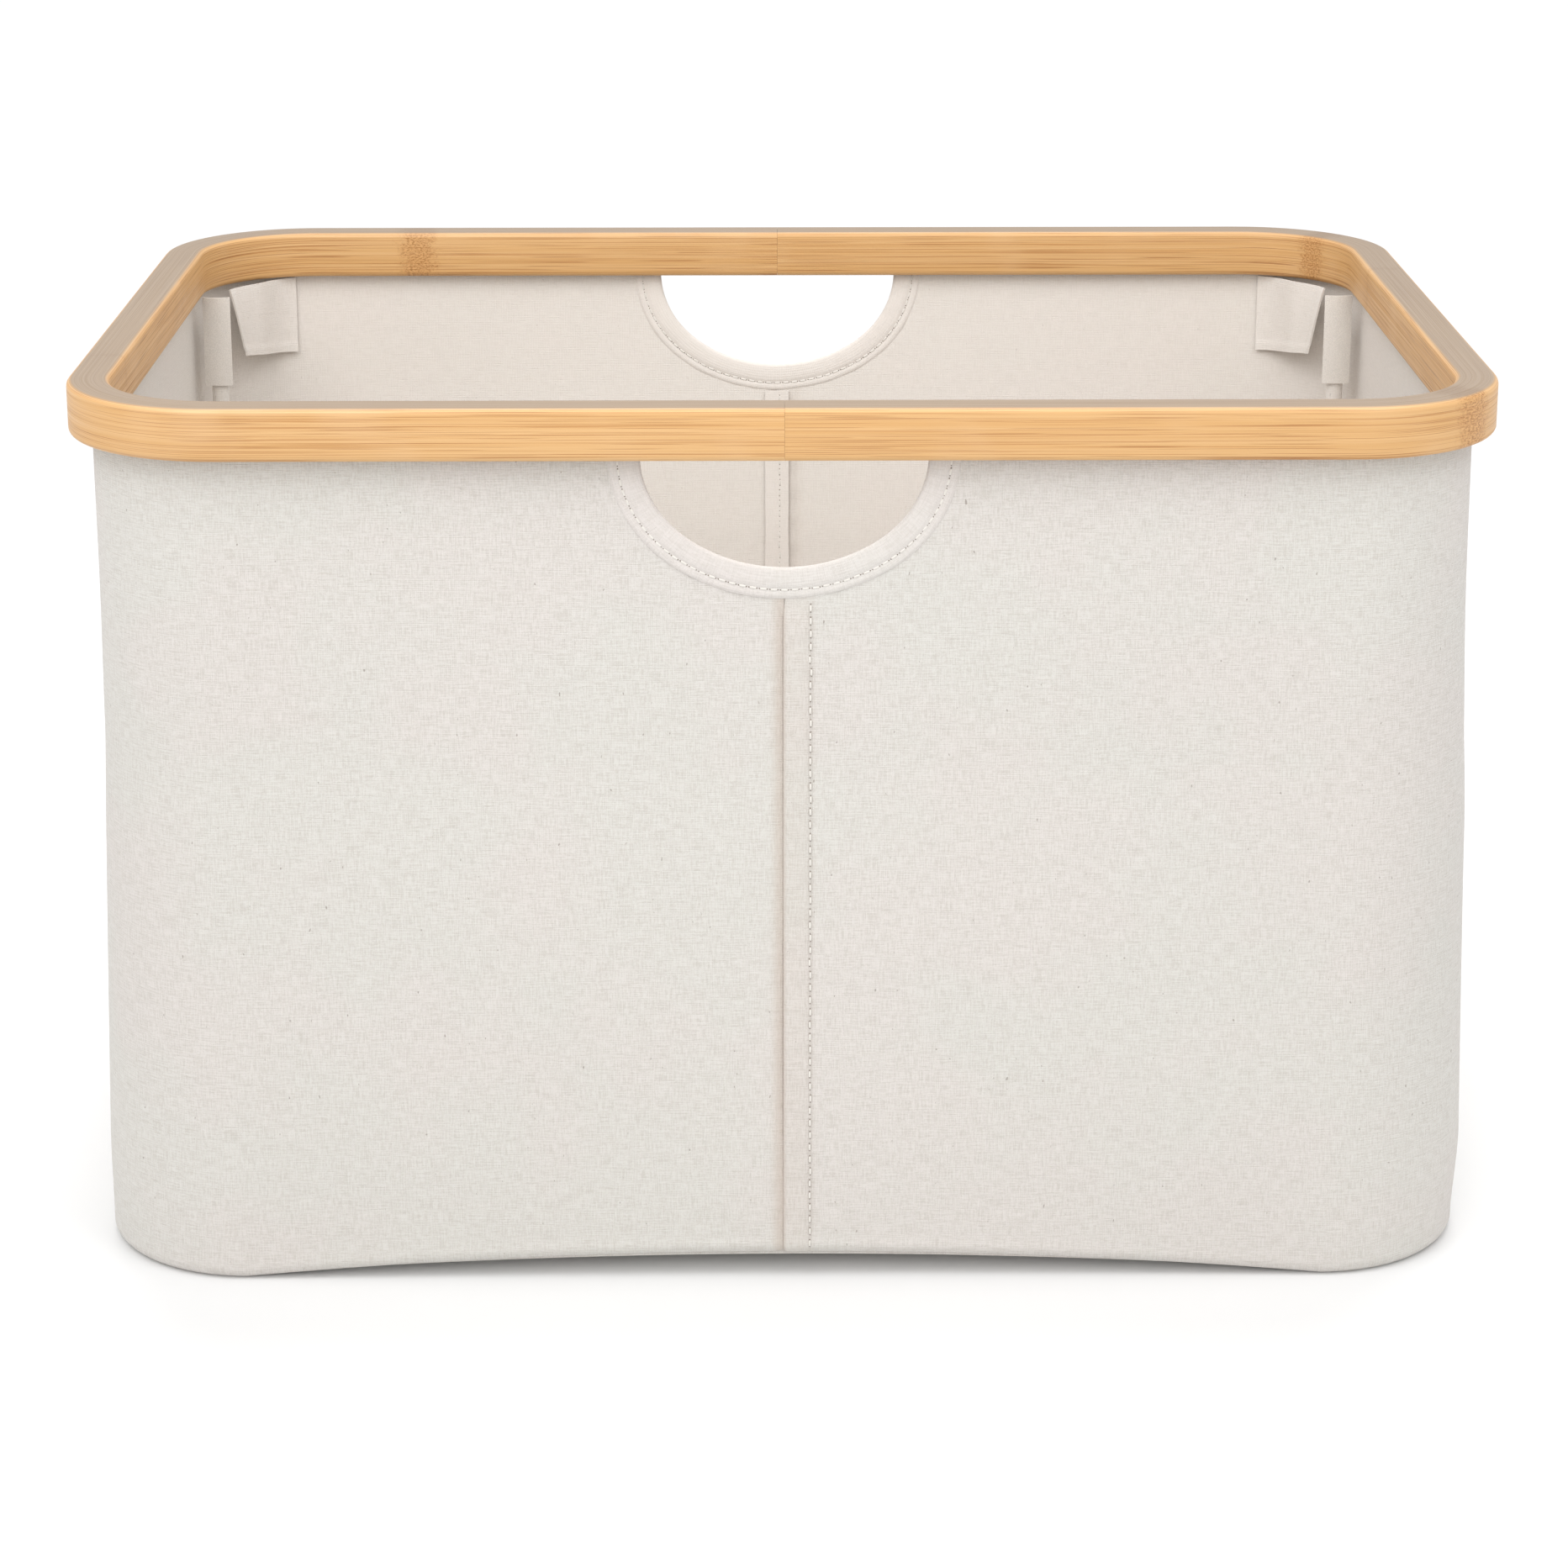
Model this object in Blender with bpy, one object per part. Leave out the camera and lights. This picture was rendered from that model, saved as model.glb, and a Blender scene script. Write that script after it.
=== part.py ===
"""Folding fabric storage bin with a bamboo rim.

Metres, +Z up. The origin is the middle of the footprint, on the floor. The front is at -Y.
The walls hang from a groove under the rim. Four rods stand in the base corners and hold the rim up.
"""

from math import cos, hypot, pi, radians, sin, sqrt

import bmesh
import bpy
from mathutils import Matrix, Vector

# Overall size, over the rim
LENGTH = 0.500
DEPTH = 0.350
HEIGHT = 0.320

# Rim: a bent bamboo bar with rounded edges and a groove underneath
RIM_WIDTH = 0.015
RIM_HEIGHT = 0.0185
RIM_CORNER_RADIUS = 0.057
RIM_EDGE_RADIUS = 0.0025
GROOVE_DEPTH = 0.008
RIM_JOINT_GAP = 0.0003

# Fabric walls and bottom
WALL = 0.0016
HEM_INSET = 0.008
BASE_FLARE = 0.006
FLARE_HEIGHT = 0.190
HEM_LENGTH = 0.0065
BOTTOM_TUCK = 0.0015
FRONT_RISE = 0.009
SIDE_RISE = 0.003
RISE_FADE = 0.045

# Hand openings and the strips sewn round them
HANDLE_WIDTH = 0.100
HANDLE_DROP = 0.040
BINDING_WIDTH = 0.0095
BINDING_THICKNESS = 0.0008

# Seam bindings, inside the front and rear seams
SEAM_BINDING_WIDTH = 0.0098
SEAM_BINDING_THICKNESS = 0.0008

# Strips that hold the hem in the groove
RETAINER_THICKNESS = 0.0016
RETAINER_HEIGHT = 0.006

# Support rods, their caps, sleeves and pockets
ROD_RADIUS = 0.0025
ROD_TOP_DROP = 0.0105
ROD_RIM_CLEARANCE = 0.001
CAP_WALL = 0.0007
CAP_LENGTH = 0.009
SLEEVE_WALL = 0.0007
SLEEVE_TOP_DROP = 0.004
POCKET_WALL = 0.0009
POCKET_HEIGHT = 0.0138
POCKET_CLEARANCE = 0.0009
POCKET_OPENING = radians(140)
ROD_CORNER_OFFSET = 0.004
ROD_SKEW = radians(4)

# Corner flaps and their hook-and-loop tape
FLAP_THICKNESS = 0.001
FLAP_HEIGHT = 0.033
FLAP_LENGTH = 0.035
FLAP_HINGE_ANGLE = radians(12)
FLAP_LIMIT_ANGLE = radians(62)
FLAP_RIM_GAP = 0.0008
TAPE_THICKNESS = 0.0008
TAPE_MARGIN = 0.0025
LOOP_TAPE_LENGTH = 0.018
HOOK_TAPE_WIDTH = 0.011
HOOK_TAPE_HEIGHT = 0.031

GAP = 0.0003
ARC_STEPS = 8
STRAIGHT_STEPS = 6
ROUND_STEPS = 20

HALF_LENGTH = LENGTH / 2
HALF_DEPTH = DEPTH / 2
ARC_X = HALF_LENGTH - RIM_CORNER_RADIUS
ARC_Y = HALF_DEPTH - RIM_CORNER_RADIUS
RIM_UNDERSIDE = HEIGHT - RIM_HEIGHT
BASE_INSET = HEM_INSET - BASE_FLARE
BASE_TOP = WALL
GROOVE_OUTER = HEM_INSET - GAP
GROOVE_INNER = HEM_INSET + WALL + RETAINER_THICKNESS + 2 * GAP
CAP_RADIUS = ROD_RADIUS + GAP + CAP_WALL
POCKET_INNER = CAP_RADIUS + POCKET_CLEARANCE
POCKET_OUTER = POCKET_INNER + POCKET_WALL
SLEEVE_OUTER = ROD_RADIUS + GAP + SLEEVE_WALL
POCKET_BOTTOM = BASE_TOP + GAP
ROD_PIVOT_Z = POCKET_BOTTOM + CAP_RADIUS + POCKET_CLEARANCE
ROD_REACH = RIM_CORNER_RADIUS - RIM_WIDTH - CAP_RADIUS - ROD_RIM_CLEARANCE
ROD_X = ARC_X + sqrt(ROD_REACH**2 - ROD_CORNER_OFFSET**2)
ROD_Y = ARC_Y + ROD_CORNER_OFFSET
ROD_TOP = RIM_UNDERSIDE - ROD_TOP_DROP
SLEEVE_BOTTOM = POCKET_BOTTOM + POCKET_HEIGHT + GAP
SLEEVE_TOP = ROD_TOP - CAP_LENGTH - SLEEVE_TOP_DROP
FLAP_INSET = RIM_WIDTH + TAPE_THICKNESS + 2 * GAP
FLAP_TOP = RIM_UNDERSIDE - FLAP_RIM_GAP

CORNERS = {
    "front_left": (-1, -1),
    "front_right": (1, -1),
    "rear_right": (1, 1),
    "rear_left": (-1, 1),
}


def material(name, color, roughness, metallic=0.0):
    """A plain material with the piece's colour and finish."""
    made = bpy.data.materials.new(name)
    made.use_nodes = True
    shader = made.node_tree.nodes["Principled BSDF"]
    shader.inputs["Base Color"].default_value = (*color, 1.0)
    shader.inputs["Roughness"].default_value = roughness
    shader.inputs["Metallic"].default_value = metallic
    return made


def add_object(name, mesh_data, finish, origin=(0.0, 0.0, 0.0), parent=None):
    """An object from a finished bmesh in world coordinates, with its own origin."""
    bmesh.ops.recalc_face_normals(mesh_data, faces=mesh_data.faces[:])
    bmesh.ops.translate(mesh_data, verts=mesh_data.verts[:], vec=-Vector(origin))
    mesh = bpy.data.meshes.new(name)
    mesh_data.to_mesh(mesh)
    mesh_data.free()
    mesh.materials.append(finish)
    mesh.shade_smooth()
    mesh.set_sharp_from_angle(angle=radians(35))
    made = bpy.data.objects.new(name, mesh)
    bpy.context.scene.collection.objects.link(made)
    if parent is None:
        made.location = origin
    else:
        made.parent = parent
        made.location = Vector(origin) - parent.location
    return made


def add_axis(name, origin):
    """An empty on a joint's axis, which the joint's pieces are parented to."""
    empty = bpy.data.objects.new(name, None)
    empty.location = origin
    empty.empty_display_size = 0.02
    bpy.context.scene.collection.objects.link(empty)
    return empty


def steps(start, end, count):
    """Evenly spaced values from start to end, both included."""
    return [start + (end - start) * i / count for i in range(count + 1)]


def half_outline(inset, side, start_x):
    """Points of half of a rounded rectangle, from the front at start_x round one side to the rear.

    Outlines at every inset share the corners' centres, so point i of one lies square to point i of another.
    """
    radius = RIM_CORNER_RADIUS - inset
    edge_y = HALF_DEPTH - inset
    front = [(x, -edge_y) for x in steps(start_x, ARC_X, STRAIGHT_STEPS)]
    front_arc = [
        (ARC_X + radius * sin(a), -ARC_Y - radius * cos(a))
        for a in steps(0, pi / 2, ARC_STEPS)[1:]
    ]
    side_run = [(ARC_X + radius, y) for y in steps(-ARC_Y, ARC_Y, STRAIGHT_STEPS)[1:-1]]
    first_half = front + front_arc
    second_half = [(x, -y) for x, y in reversed(first_half)]
    return [(side * x, y) for x, y in first_half + side_run + second_half]


def full_outline(inset):
    """A closed rounded rectangle, starting at the front's middle."""
    right = half_outline(inset, 1, 0.0)
    left = half_outline(inset, -1, 0.0)
    return right + list(reversed(left))[1:-1]


def bottom_rise(x, y):
    """How far the sewn bottom edge is drawn up from the floor. It fades out inwards, so the bottom lies flat."""

    def fade(distance):
        return max(0.0, 1 - max(distance, 0.0) / RISE_FADE) ** 2

    front = FRONT_RISE * max(0.0, 1 - (x / ARC_X) ** 2) * fade(HALF_DEPTH - BASE_INSET - abs(y))
    side = SIDE_RISE * max(0.0, 1 - (y / ARC_Y) ** 2) * fade(HALF_LENGTH - BASE_INSET - abs(x))
    return front + side


def wall_inset(z):
    """How far the wall's outer face lies inside the rim's outer face at height z."""
    return HEM_INSET - BASE_FLARE * max(0.0, 1 - z / FLARE_HEIGHT)


def sheet_solid(outer, inner):
    """A closed sheet between two grids of points that match row by row."""
    solid = bmesh.new()
    rows, columns = len(outer), len(outer[0])
    grids = [[[solid.verts.new(p) for p in row] for row in grid] for grid in (outer, inner)]
    for grid in grids:
        for r in range(rows - 1):
            for c in range(columns - 1):
                solid.faces.new((grid[r][c], grid[r][c + 1], grid[r + 1][c + 1], grid[r + 1][c]))
    edge = [(0, c) for c in range(columns)]
    edge += [(r, columns - 1) for r in range(1, rows)]
    edge += [(rows - 1, c) for c in range(columns - 2, -1, -1)]
    edge += [(r, 0) for r in range(rows - 2, 0, -1)]
    for (r, c), (next_r, next_c) in zip(edge, edge[1:] + edge[:1]):
        near, far = grids
        solid.faces.new((near[r][c], near[next_r][next_c], far[next_r][next_c], far[r][c]))
    return solid


def swept_solid(rings, closed=False):
    """A solid skinned over matching closed rings, with its two ends capped unless it runs round."""
    solid = bmesh.new()
    made = [[solid.verts.new(p) for p in ring] for ring in rings]
    count = len(rings[0])
    pairs = list(zip(made, made[1:]))
    if closed:
        pairs.append((made[-1], made[0]))
    for first, second in pairs:
        for i in range(count):
            j = (i + 1) % count
            solid.faces.new((first[i], first[j], second[j], second[i]))
    if not closed:
        solid.faces.new(made[0])
        solid.faces.new(made[-1])
    return solid


def turned_solid(profile, centre):
    """A solid turned about a vertical line at centre from (radius, z) points that start and end on it."""
    solid = bmesh.new()
    points = [solid.verts.new((r, 0.0, z)) for r, z in profile]
    edges = [solid.edges.new(pair) for pair in zip(points, points[1:])]
    bmesh.ops.spin(
        solid,
        geom=points + edges,
        cent=(0, 0, 0),
        axis=(0, 0, 1),
        angle=2 * pi,
        steps=ROUND_STEPS,
        use_merge=True,
    )
    bmesh.ops.remove_doubles(solid, verts=solid.verts[:], dist=1e-6)
    bmesh.ops.translate(solid, verts=solid.verts[:], vec=centre)
    return solid


def rim_section():
    """(inset, z) points of the rim's section, round the outside and up into the groove."""
    corners = (
        (0.0, RIM_UNDERSIDE, pi),
        (0.0, HEIGHT, pi / 2),
        (RIM_WIDTH, HEIGHT, 0.0),
        (RIM_WIDTH, RIM_UNDERSIDE, -pi / 2),
    )
    radius = RIM_EDGE_RADIUS
    points = []
    for inset, z, last in corners:
        centre_inset = radius if inset == 0.0 else RIM_WIDTH - radius
        centre_z = RIM_UNDERSIDE + radius if z == RIM_UNDERSIDE else HEIGHT - radius
        for angle in steps(last + pi / 2, last, 3):
            points.append((centre_inset + radius * cos(angle), centre_z + radius * sin(angle)))
    groove_top = RIM_UNDERSIDE + GROOVE_DEPTH
    points += [
        (GROOVE_INNER, RIM_UNDERSIDE),
        (GROOVE_INNER, groove_top),
        (GROOVE_OUTER, groove_top),
        (GROOVE_OUTER, RIM_UNDERSIDE),
    ]
    return points


def swept_section(section, side, start_x):
    """Rings of an (inset, z) section carried round half of the rim."""
    tracks = [(half_outline(inset, side, start_x), z) for inset, z in section]
    count = len(tracks[0][0])
    return [[(*track[i], z) for track, z in tracks] for i in range(count)]


def build_rim(finish, parent):
    for name, side in (("rim_half_left", -1), ("rim_half_right", 1)):
        rings = swept_section(rim_section(), side, RIM_JOINT_GAP / 2)
        add_object(name, swept_solid(rings), finish, parent.location, parent)


def build_retainers(finish, parent):
    """Strips in the groove, inboard of the hem, from one hand opening round to the other."""
    inner = HEM_INSET + WALL + GAP
    outer = inner + RETAINER_THICKNESS
    low, high = RIM_UNDERSIDE + GAP, RIM_UNDERSIDE + GAP + RETAINER_HEIGHT
    section = [(inner, low), (inner, high), (outer, high), (outer, low)]
    start_x = HANDLE_WIDTH / 2 + BINDING_WIDTH + GAP
    for name, side in (("hem_retainer_left", -1), ("hem_retainer_right", 1)):
        rings = swept_section(section, side, start_x)
        add_object(name, swept_solid(rings), finish, parent.location, parent)


def handle_cutter():
    """A guide solid: both hand openings, run through the front and the rear wall."""
    half = HANDLE_WIDTH / 2
    arc = [
        (-half * cos(a), RIM_UNDERSIDE - HANDLE_DROP * sin(a))
        for a in steps(0, pi, 2 * ARC_STEPS)
    ]
    section = arc + [(half, HEIGHT), (-half, HEIGHT)]
    rings = [[(x, y, z) for x, z in section] for y in (-DEPTH, DEPTH)]
    cutter = add_object("handle_cutter", swept_solid(rings), bpy.data.materials.new("guide"))
    cutter.hide_render = True
    cutter.display_type = "WIRE"
    return cutter


def build_walls(finish, cutter):
    """Two fabric panels that meet at the seams in the middle of the front and the rear."""
    levels = steps(FRONT_RISE + BOTTOM_TUCK, FLARE_HEIGHT, 3)
    levels += steps(FLARE_HEIGHT, RIM_UNDERSIDE, 3)[1:] + [RIM_UNDERSIDE + HEM_LENGTH]
    for name, side in (("body_panel_left", -1), ("body_panel_right", 1)):
        faces = []
        for depth_in in (0.0, WALL):
            rows = [
                [
                    (x, y, bottom_rise(x, y))
                    for x, y in half_outline(BASE_INSET + BOTTOM_TUCK + depth_in, side, GAP / 2)
                ]
            ]
            for z in levels:
                outline = half_outline(wall_inset(z) + depth_in, side, GAP / 2)
                rows.append([(x, y, z) for x, y in outline])
            faces.append(rows)
        panel = add_object(name, sheet_solid(*faces), finish)
        cut = panel.modifiers.new("hand openings", "BOOLEAN")
        cut.operation = "DIFFERENCE"
        cut.solver = "EXACT"
        cut.object = cutter


def build_base(finish):
    """The fabric bottom, inside the foot of the walls."""
    outline = full_outline(BASE_INSET + BOTTOM_TUCK + WALL + GAP)
    shares = (1.0, 0.95, 0.9, 0.84, 0.76, 0.6, 0.3)
    solid = bmesh.new()
    sides = []
    for lift in (0.0, BASE_TOP):
        rings = []
        for share in shares:
            ring = [(x * share, y * share) for x, y in outline]
            rings.append([solid.verts.new((x, y, lift + bottom_rise(x, y))) for x, y in ring])
        centre = solid.verts.new((0, 0, lift))
        for outer, inner in zip(rings, rings[1:]):
            for i in range(len(outline)):
                j = (i + 1) % len(outline)
                solid.faces.new((outer[i], outer[j], inner[j], inner[i]))
        for i in range(len(outline)):
            solid.faces.new((rings[-1][i], rings[-1][(i + 1) % len(outline)], centre))
        sides.append(rings[0])
    for i in range(len(outline)):
        j = (i + 1) % len(outline)
        solid.faces.new((sides[0][i], sides[0][j], sides[1][j], sides[1][i]))
    add_object("base_panel", solid, finish)


def build_handle_bindings(finish):
    """A folded strip that grips the wall's edge round each hand opening."""
    half = HANDLE_WIDTH / 2
    near = GAP + BINDING_THICKNESS
    section = (
        (-near, -near),
        (BINDING_WIDTH, -near),
        (BINDING_WIDTH, -GAP),
        (-GAP, -GAP),
        (-GAP, WALL + GAP),
        (BINDING_WIDTH, WALL + GAP),
        (BINDING_WIDTH, WALL + near),
        (-near, WALL + near),
    )
    for name, side in (("front_handle_binding", -1), ("rear_handle_binding", 1)):
        rings = []
        for angle in steps(0, pi, 2 * ARC_STEPS):
            out_x, out_z = -cos(angle) / half, -sin(angle) / HANDLE_DROP
            length = hypot(out_x, out_z)
            ring = []
            for outward, depth_in in section:
                x = -half * cos(angle) + outward * out_x / length
                z = RIM_UNDERSIDE - GAP - HANDLE_DROP * sin(angle) + outward * out_z / length
                ring.append((x, side * (HALF_DEPTH - wall_inset(z) - depth_in), z))
            rings.append(ring)
        add_object(name, swept_solid(rings), finish)


def build_seam_bindings(finish):
    """The tape that covers each seam's raw edges, inside, from the bottom up to the hand opening's strip."""
    top = RIM_UNDERSIDE - HANDLE_DROP - BINDING_WIDTH - 2 * GAP
    bottom = BASE_TOP + FRONT_RISE + 2 * GAP
    heights = steps(bottom, top, 8)
    half = SEAM_BINDING_WIDTH / 2
    for name, side in (("front_seam_binding", -1), ("rear_seam_binding", 1)):
        faces = []
        for depth_in in (WALL + GAP, WALL + GAP + SEAM_BINDING_THICKNESS):
            faces.append(
                [
                    [(x, side * (HALF_DEPTH - wall_inset(z) - depth_in), z) for x in (-half, half)]
                    for z in heights
                ]
            )
        add_object(name, sheet_solid(*faces), finish)


def fold_direction(side_x, side_y):
    """The way a rod lies down: along the bin's length. Two opposite rods lean in a little, to pass the others."""
    skew = ROD_SKEW if side_x == -side_y else 0.0
    return Vector((-side_x * cos(skew), -side_y * sin(skew), 0.0))


def build_rod(corner, side_x, side_y, finishes):
    """A rod with its two caps, its fabric sleeve and its tape, all parented to the foot's axis."""
    foot = Vector((side_x * ROD_X, side_y * ROD_Y, ROD_PIVOT_Z))
    axis = add_axis(f"rod_axis_{corner}", foot)
    line = Vector((foot.x, foot.y, 0.0))
    bore = ROD_RADIUS + GAP
    cap_bottom = ROD_PIVOT_Z + CAP_LENGTH - CAP_RADIUS
    rod_bottom = ROD_PIVOT_Z
    rod_high = ROD_TOP - CAP_WALL - GAP

    rod = [(0, rod_bottom), (ROD_RADIUS, rod_bottom), (ROD_RADIUS, rod_high), (0, rod_high)]
    add_object(f"corner_rod_{corner}", turned_solid(rod, line), finishes["rod"], foot, axis)

    dome = [
        (CAP_RADIUS * sin(a), ROD_PIVOT_Z - CAP_RADIUS * cos(a)) for a in steps(0, pi / 2, 5)
    ]
    foot_cap = dome + [
        (CAP_RADIUS, cap_bottom),
        (bore, cap_bottom),
        (bore, rod_bottom - GAP),
        (0, rod_bottom - GAP),
    ]
    add_object(f"rod_foot_cap_{corner}", turned_solid(foot_cap, line), finishes["cap"], foot, axis)

    top_low = ROD_TOP - CAP_LENGTH
    top_cap = [
        (0, ROD_TOP - CAP_WALL),
        (bore, ROD_TOP - CAP_WALL),
        (bore, top_low),
        (CAP_RADIUS, top_low),
        (CAP_RADIUS, ROD_TOP),
        (CAP_RADIUS - CAP_WALL, ROD_TOP + CAP_WALL),
        (0, ROD_TOP + CAP_WALL),
    ]
    add_object(f"rod_top_cap_{corner}", turned_solid(top_cap, line), finishes["cap"], foot, axis)

    rings = []
    for i in range(ROUND_STEPS):
        a = 2 * pi * i / ROUND_STEPS
        ring = [
            (foot.x + r * cos(a), foot.y + r * sin(a), z)
            for r, z in (
                (bore, SLEEVE_BOTTOM),
                (SLEEVE_OUTER, SLEEVE_BOTTOM),
                (SLEEVE_OUTER, SLEEVE_TOP),
                (bore, SLEEVE_TOP),
            )
        ]
        rings.append(ring)
    sleeve = swept_solid(rings, closed=True)
    add_object(f"rod_sleeve_{corner}", sleeve, finishes["fabric"], foot, axis)

    tape_top = ROD_TOP - GAP
    face = SLEEVE_OUTER + GAP
    faces = []
    for out in (face, face + TAPE_THICKNESS):
        y = foot.y - side_y * out
        faces.append(
            [
                [(foot.x + x, y, z) for x in (-HOOK_TAPE_WIDTH / 2, HOOK_TAPE_WIDTH / 2)]
                for z in (tape_top - HOOK_TAPE_HEIGHT, tape_top)
            ]
        )
    add_object(f"hook_tape_{corner}", sheet_solid(*faces), finishes["tape"], foot, axis)


def build_pocket(corner, side_x, side_y, finish):
    """The sewn socket that a rod stands in. It is open on the side that the rod lies down to."""
    foot = Vector((side_x * ROD_X, side_y * ROD_Y, 0.0))
    way = fold_direction(side_x, side_y)
    start = POCKET_OPENING / 2
    rings = []
    for a in steps(start, 2 * pi - start, ROUND_STEPS):
        out = Matrix.Rotation(a, 3, "Z") @ way
        ring = [
            tuple(foot + out * r + Vector((0, 0, z)))
            for r, z in (
                (POCKET_INNER, POCKET_BOTTOM),
                (POCKET_OUTER, POCKET_BOTTOM),
                (POCKET_OUTER, POCKET_BOTTOM + POCKET_HEIGHT),
                (POCKET_INNER, POCKET_BOTTOM + POCKET_HEIGHT),
            )
        ]
        rings.append(ring)
    add_object(f"rod_pocket_{corner}", swept_solid(rings), finish)


def corner_sheet(side_x, side_y, inset, thickness, angles, heights):
    """A thin sheet that follows the rounded corner at an inset, between two angles from the long wall."""
    faces = []
    for depth_in in (inset, inset + thickness):
        radius = RIM_CORNER_RADIUS - depth_in
        faces.append(
            [
                [
                    (side_x * (ARC_X + radius * sin(a)), side_y * (ARC_Y + radius * cos(a)), z)
                    for a in angles
                ]
                for z in heights
            ]
        )
    return sheet_solid(*faces)


def build_flap(corner, side_x, side_y, finishes):
    """A flap sewn under the rim along one upright edge, with loop tape on its back."""
    radius = RIM_CORNER_RADIUS - FLAP_INSET
    hinge = Vector(
        (
            side_x * (ARC_X + radius * sin(FLAP_HINGE_ANGLE)),
            side_y * (ARC_Y + radius * cos(FLAP_HINGE_ANGLE)),
            FLAP_TOP,
        )
    )
    axis = add_axis(f"flap_axis_{corner}", hinge)
    free_angle = min(FLAP_HINGE_ANGLE + FLAP_LENGTH / radius, FLAP_LIMIT_ANGLE)
    heights = (FLAP_TOP - FLAP_HEIGHT, FLAP_TOP)
    angles = steps(FLAP_HINGE_ANGLE, free_angle, ARC_STEPS)
    flap = corner_sheet(side_x, side_y, FLAP_INSET, FLAP_THICKNESS, angles, heights)
    add_object(f"corner_flap_{corner}", flap, finishes["fabric"], hinge, axis)

    tape_radius = RIM_CORNER_RADIUS - RIM_WIDTH - GAP
    tape_end = free_angle - TAPE_MARGIN / tape_radius
    angles = steps(tape_end - LOOP_TAPE_LENGTH / tape_radius, tape_end, ARC_STEPS // 2)
    heights = (heights[0] + TAPE_MARGIN, heights[1] - TAPE_MARGIN)
    tape = corner_sheet(side_x, side_y, RIM_WIDTH + GAP, TAPE_THICKNESS, angles, heights)
    add_object(f"loop_tape_{corner}", tape, finishes["tape"], hinge, axis)


def main():
    for old in list(bpy.data.objects):
        bpy.data.objects.remove(old, do_unlink=True)
    bamboo = material("bamboo", (0.80, 0.48, 0.21), 0.45)
    plastic = material("plastic", (0.75, 0.74, 0.72), 0.4)
    fabric = material("cotton", (0.79, 0.77, 0.73), 0.9)
    trim = material("cotton binding", (0.80, 0.77, 0.73), 0.9)
    finishes = {
        "rod": material("fibreglass", (0.72, 0.71, 0.68), 0.35),
        "cap": material("cap plastic", (0.70, 0.70, 0.70), 0.4),
        "tape": material("hook and loop tape", (0.78, 0.79, 0.82), 0.8),
        "fabric": fabric,
    }
    rim_axis = add_axis("rim_axis", (0.0, 0.0, RIM_UNDERSIDE))
    build_rim(bamboo, rim_axis)
    build_retainers(plastic, rim_axis)
    build_walls(fabric, handle_cutter())
    build_base(fabric)
    build_handle_bindings(trim)
    build_seam_bindings(trim)
    for corner, (side_x, side_y) in CORNERS.items():
        build_rod(corner, side_x, side_y, finishes)
        build_pocket(corner, side_x, side_y, fabric)
        build_flap(corner, side_x, side_y, finishes)


main()
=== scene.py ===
from math import cos, hypot, pi, radians, sin

import bpy
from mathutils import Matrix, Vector, noise


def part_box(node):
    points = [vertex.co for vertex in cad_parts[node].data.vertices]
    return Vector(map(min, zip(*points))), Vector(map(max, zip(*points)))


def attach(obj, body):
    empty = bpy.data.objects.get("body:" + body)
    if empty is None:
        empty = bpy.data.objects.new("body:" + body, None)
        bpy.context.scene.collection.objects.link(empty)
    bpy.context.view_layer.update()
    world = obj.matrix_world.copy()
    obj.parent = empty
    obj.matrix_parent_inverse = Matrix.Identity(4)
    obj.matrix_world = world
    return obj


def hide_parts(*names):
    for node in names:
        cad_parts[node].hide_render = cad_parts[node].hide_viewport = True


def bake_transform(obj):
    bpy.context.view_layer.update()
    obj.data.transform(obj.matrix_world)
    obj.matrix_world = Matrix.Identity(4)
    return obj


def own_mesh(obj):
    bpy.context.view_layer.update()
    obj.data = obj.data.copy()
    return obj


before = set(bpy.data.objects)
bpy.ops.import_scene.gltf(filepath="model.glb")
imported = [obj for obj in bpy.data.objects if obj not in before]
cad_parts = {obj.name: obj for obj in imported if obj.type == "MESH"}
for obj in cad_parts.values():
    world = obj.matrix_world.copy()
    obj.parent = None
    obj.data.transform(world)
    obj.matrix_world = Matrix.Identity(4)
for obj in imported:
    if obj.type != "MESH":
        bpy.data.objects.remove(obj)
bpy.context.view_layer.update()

# the bin's own shape, read from the frame where the frame has it
rimLow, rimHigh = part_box("rim_half_right")
bag = {
    "halfLength": rimHigh.x,
    "halfDepth": rimHigh.y,
    "height": rimHigh.z,
    "rimUnder": rimLow.z,
    "rimWidth": 0.015,
    "cornerRadius": 0.057,
    "hemInset": 0.008,   # the wall hangs this far inside the rim's outer face
    "baseFlare": 0.006,  # how much further out the wall stands at the floor
    "flareHeight": 0.190,
    "wall": 0.0016,
    "frontRise": 0.009,  # the bottom edge is drawn up in the middle
    "sideRise": 0.003,
    "riseFade": 0.045,
    "gap": 0.0003,
}
arcX = bag["halfLength"] - bag["cornerRadius"]
arcY = bag["halfDepth"] - bag["cornerRadius"]
corners = {
    "front_left": (-1, -1),
    "front_right": (1, -1),
    "rear_right": (1, 1),
    "rear_left": (-1, 1),
}


def deselectAll():
    if bpy.context.mode != "OBJECT":
        bpy.ops.object.mode_set(mode="OBJECT")
    bpy.ops.object.select_all(action="DESELECT")


def makeActive(piece):
    deselectAll()
    piece.select_set(True)
    bpy.context.view_layer.objects.active = piece


def applyModifiers(piece):
    makeActive(piece)
    for modifier in list(piece.modifiers):
        bpy.ops.object.modifier_apply(modifier=modifier.name)


def settle(piece, material, angle=40):
    # the object ends at the origin, with its place in its mesh
    makeActive(piece)
    bpy.ops.object.transform_apply(location=True, rotation=True, scale=True)
    bpy.ops.object.shade_smooth_by_angle(angle=radians(angle))
    piece.data.materials.clear()
    piece.data.materials.append(material)


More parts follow.
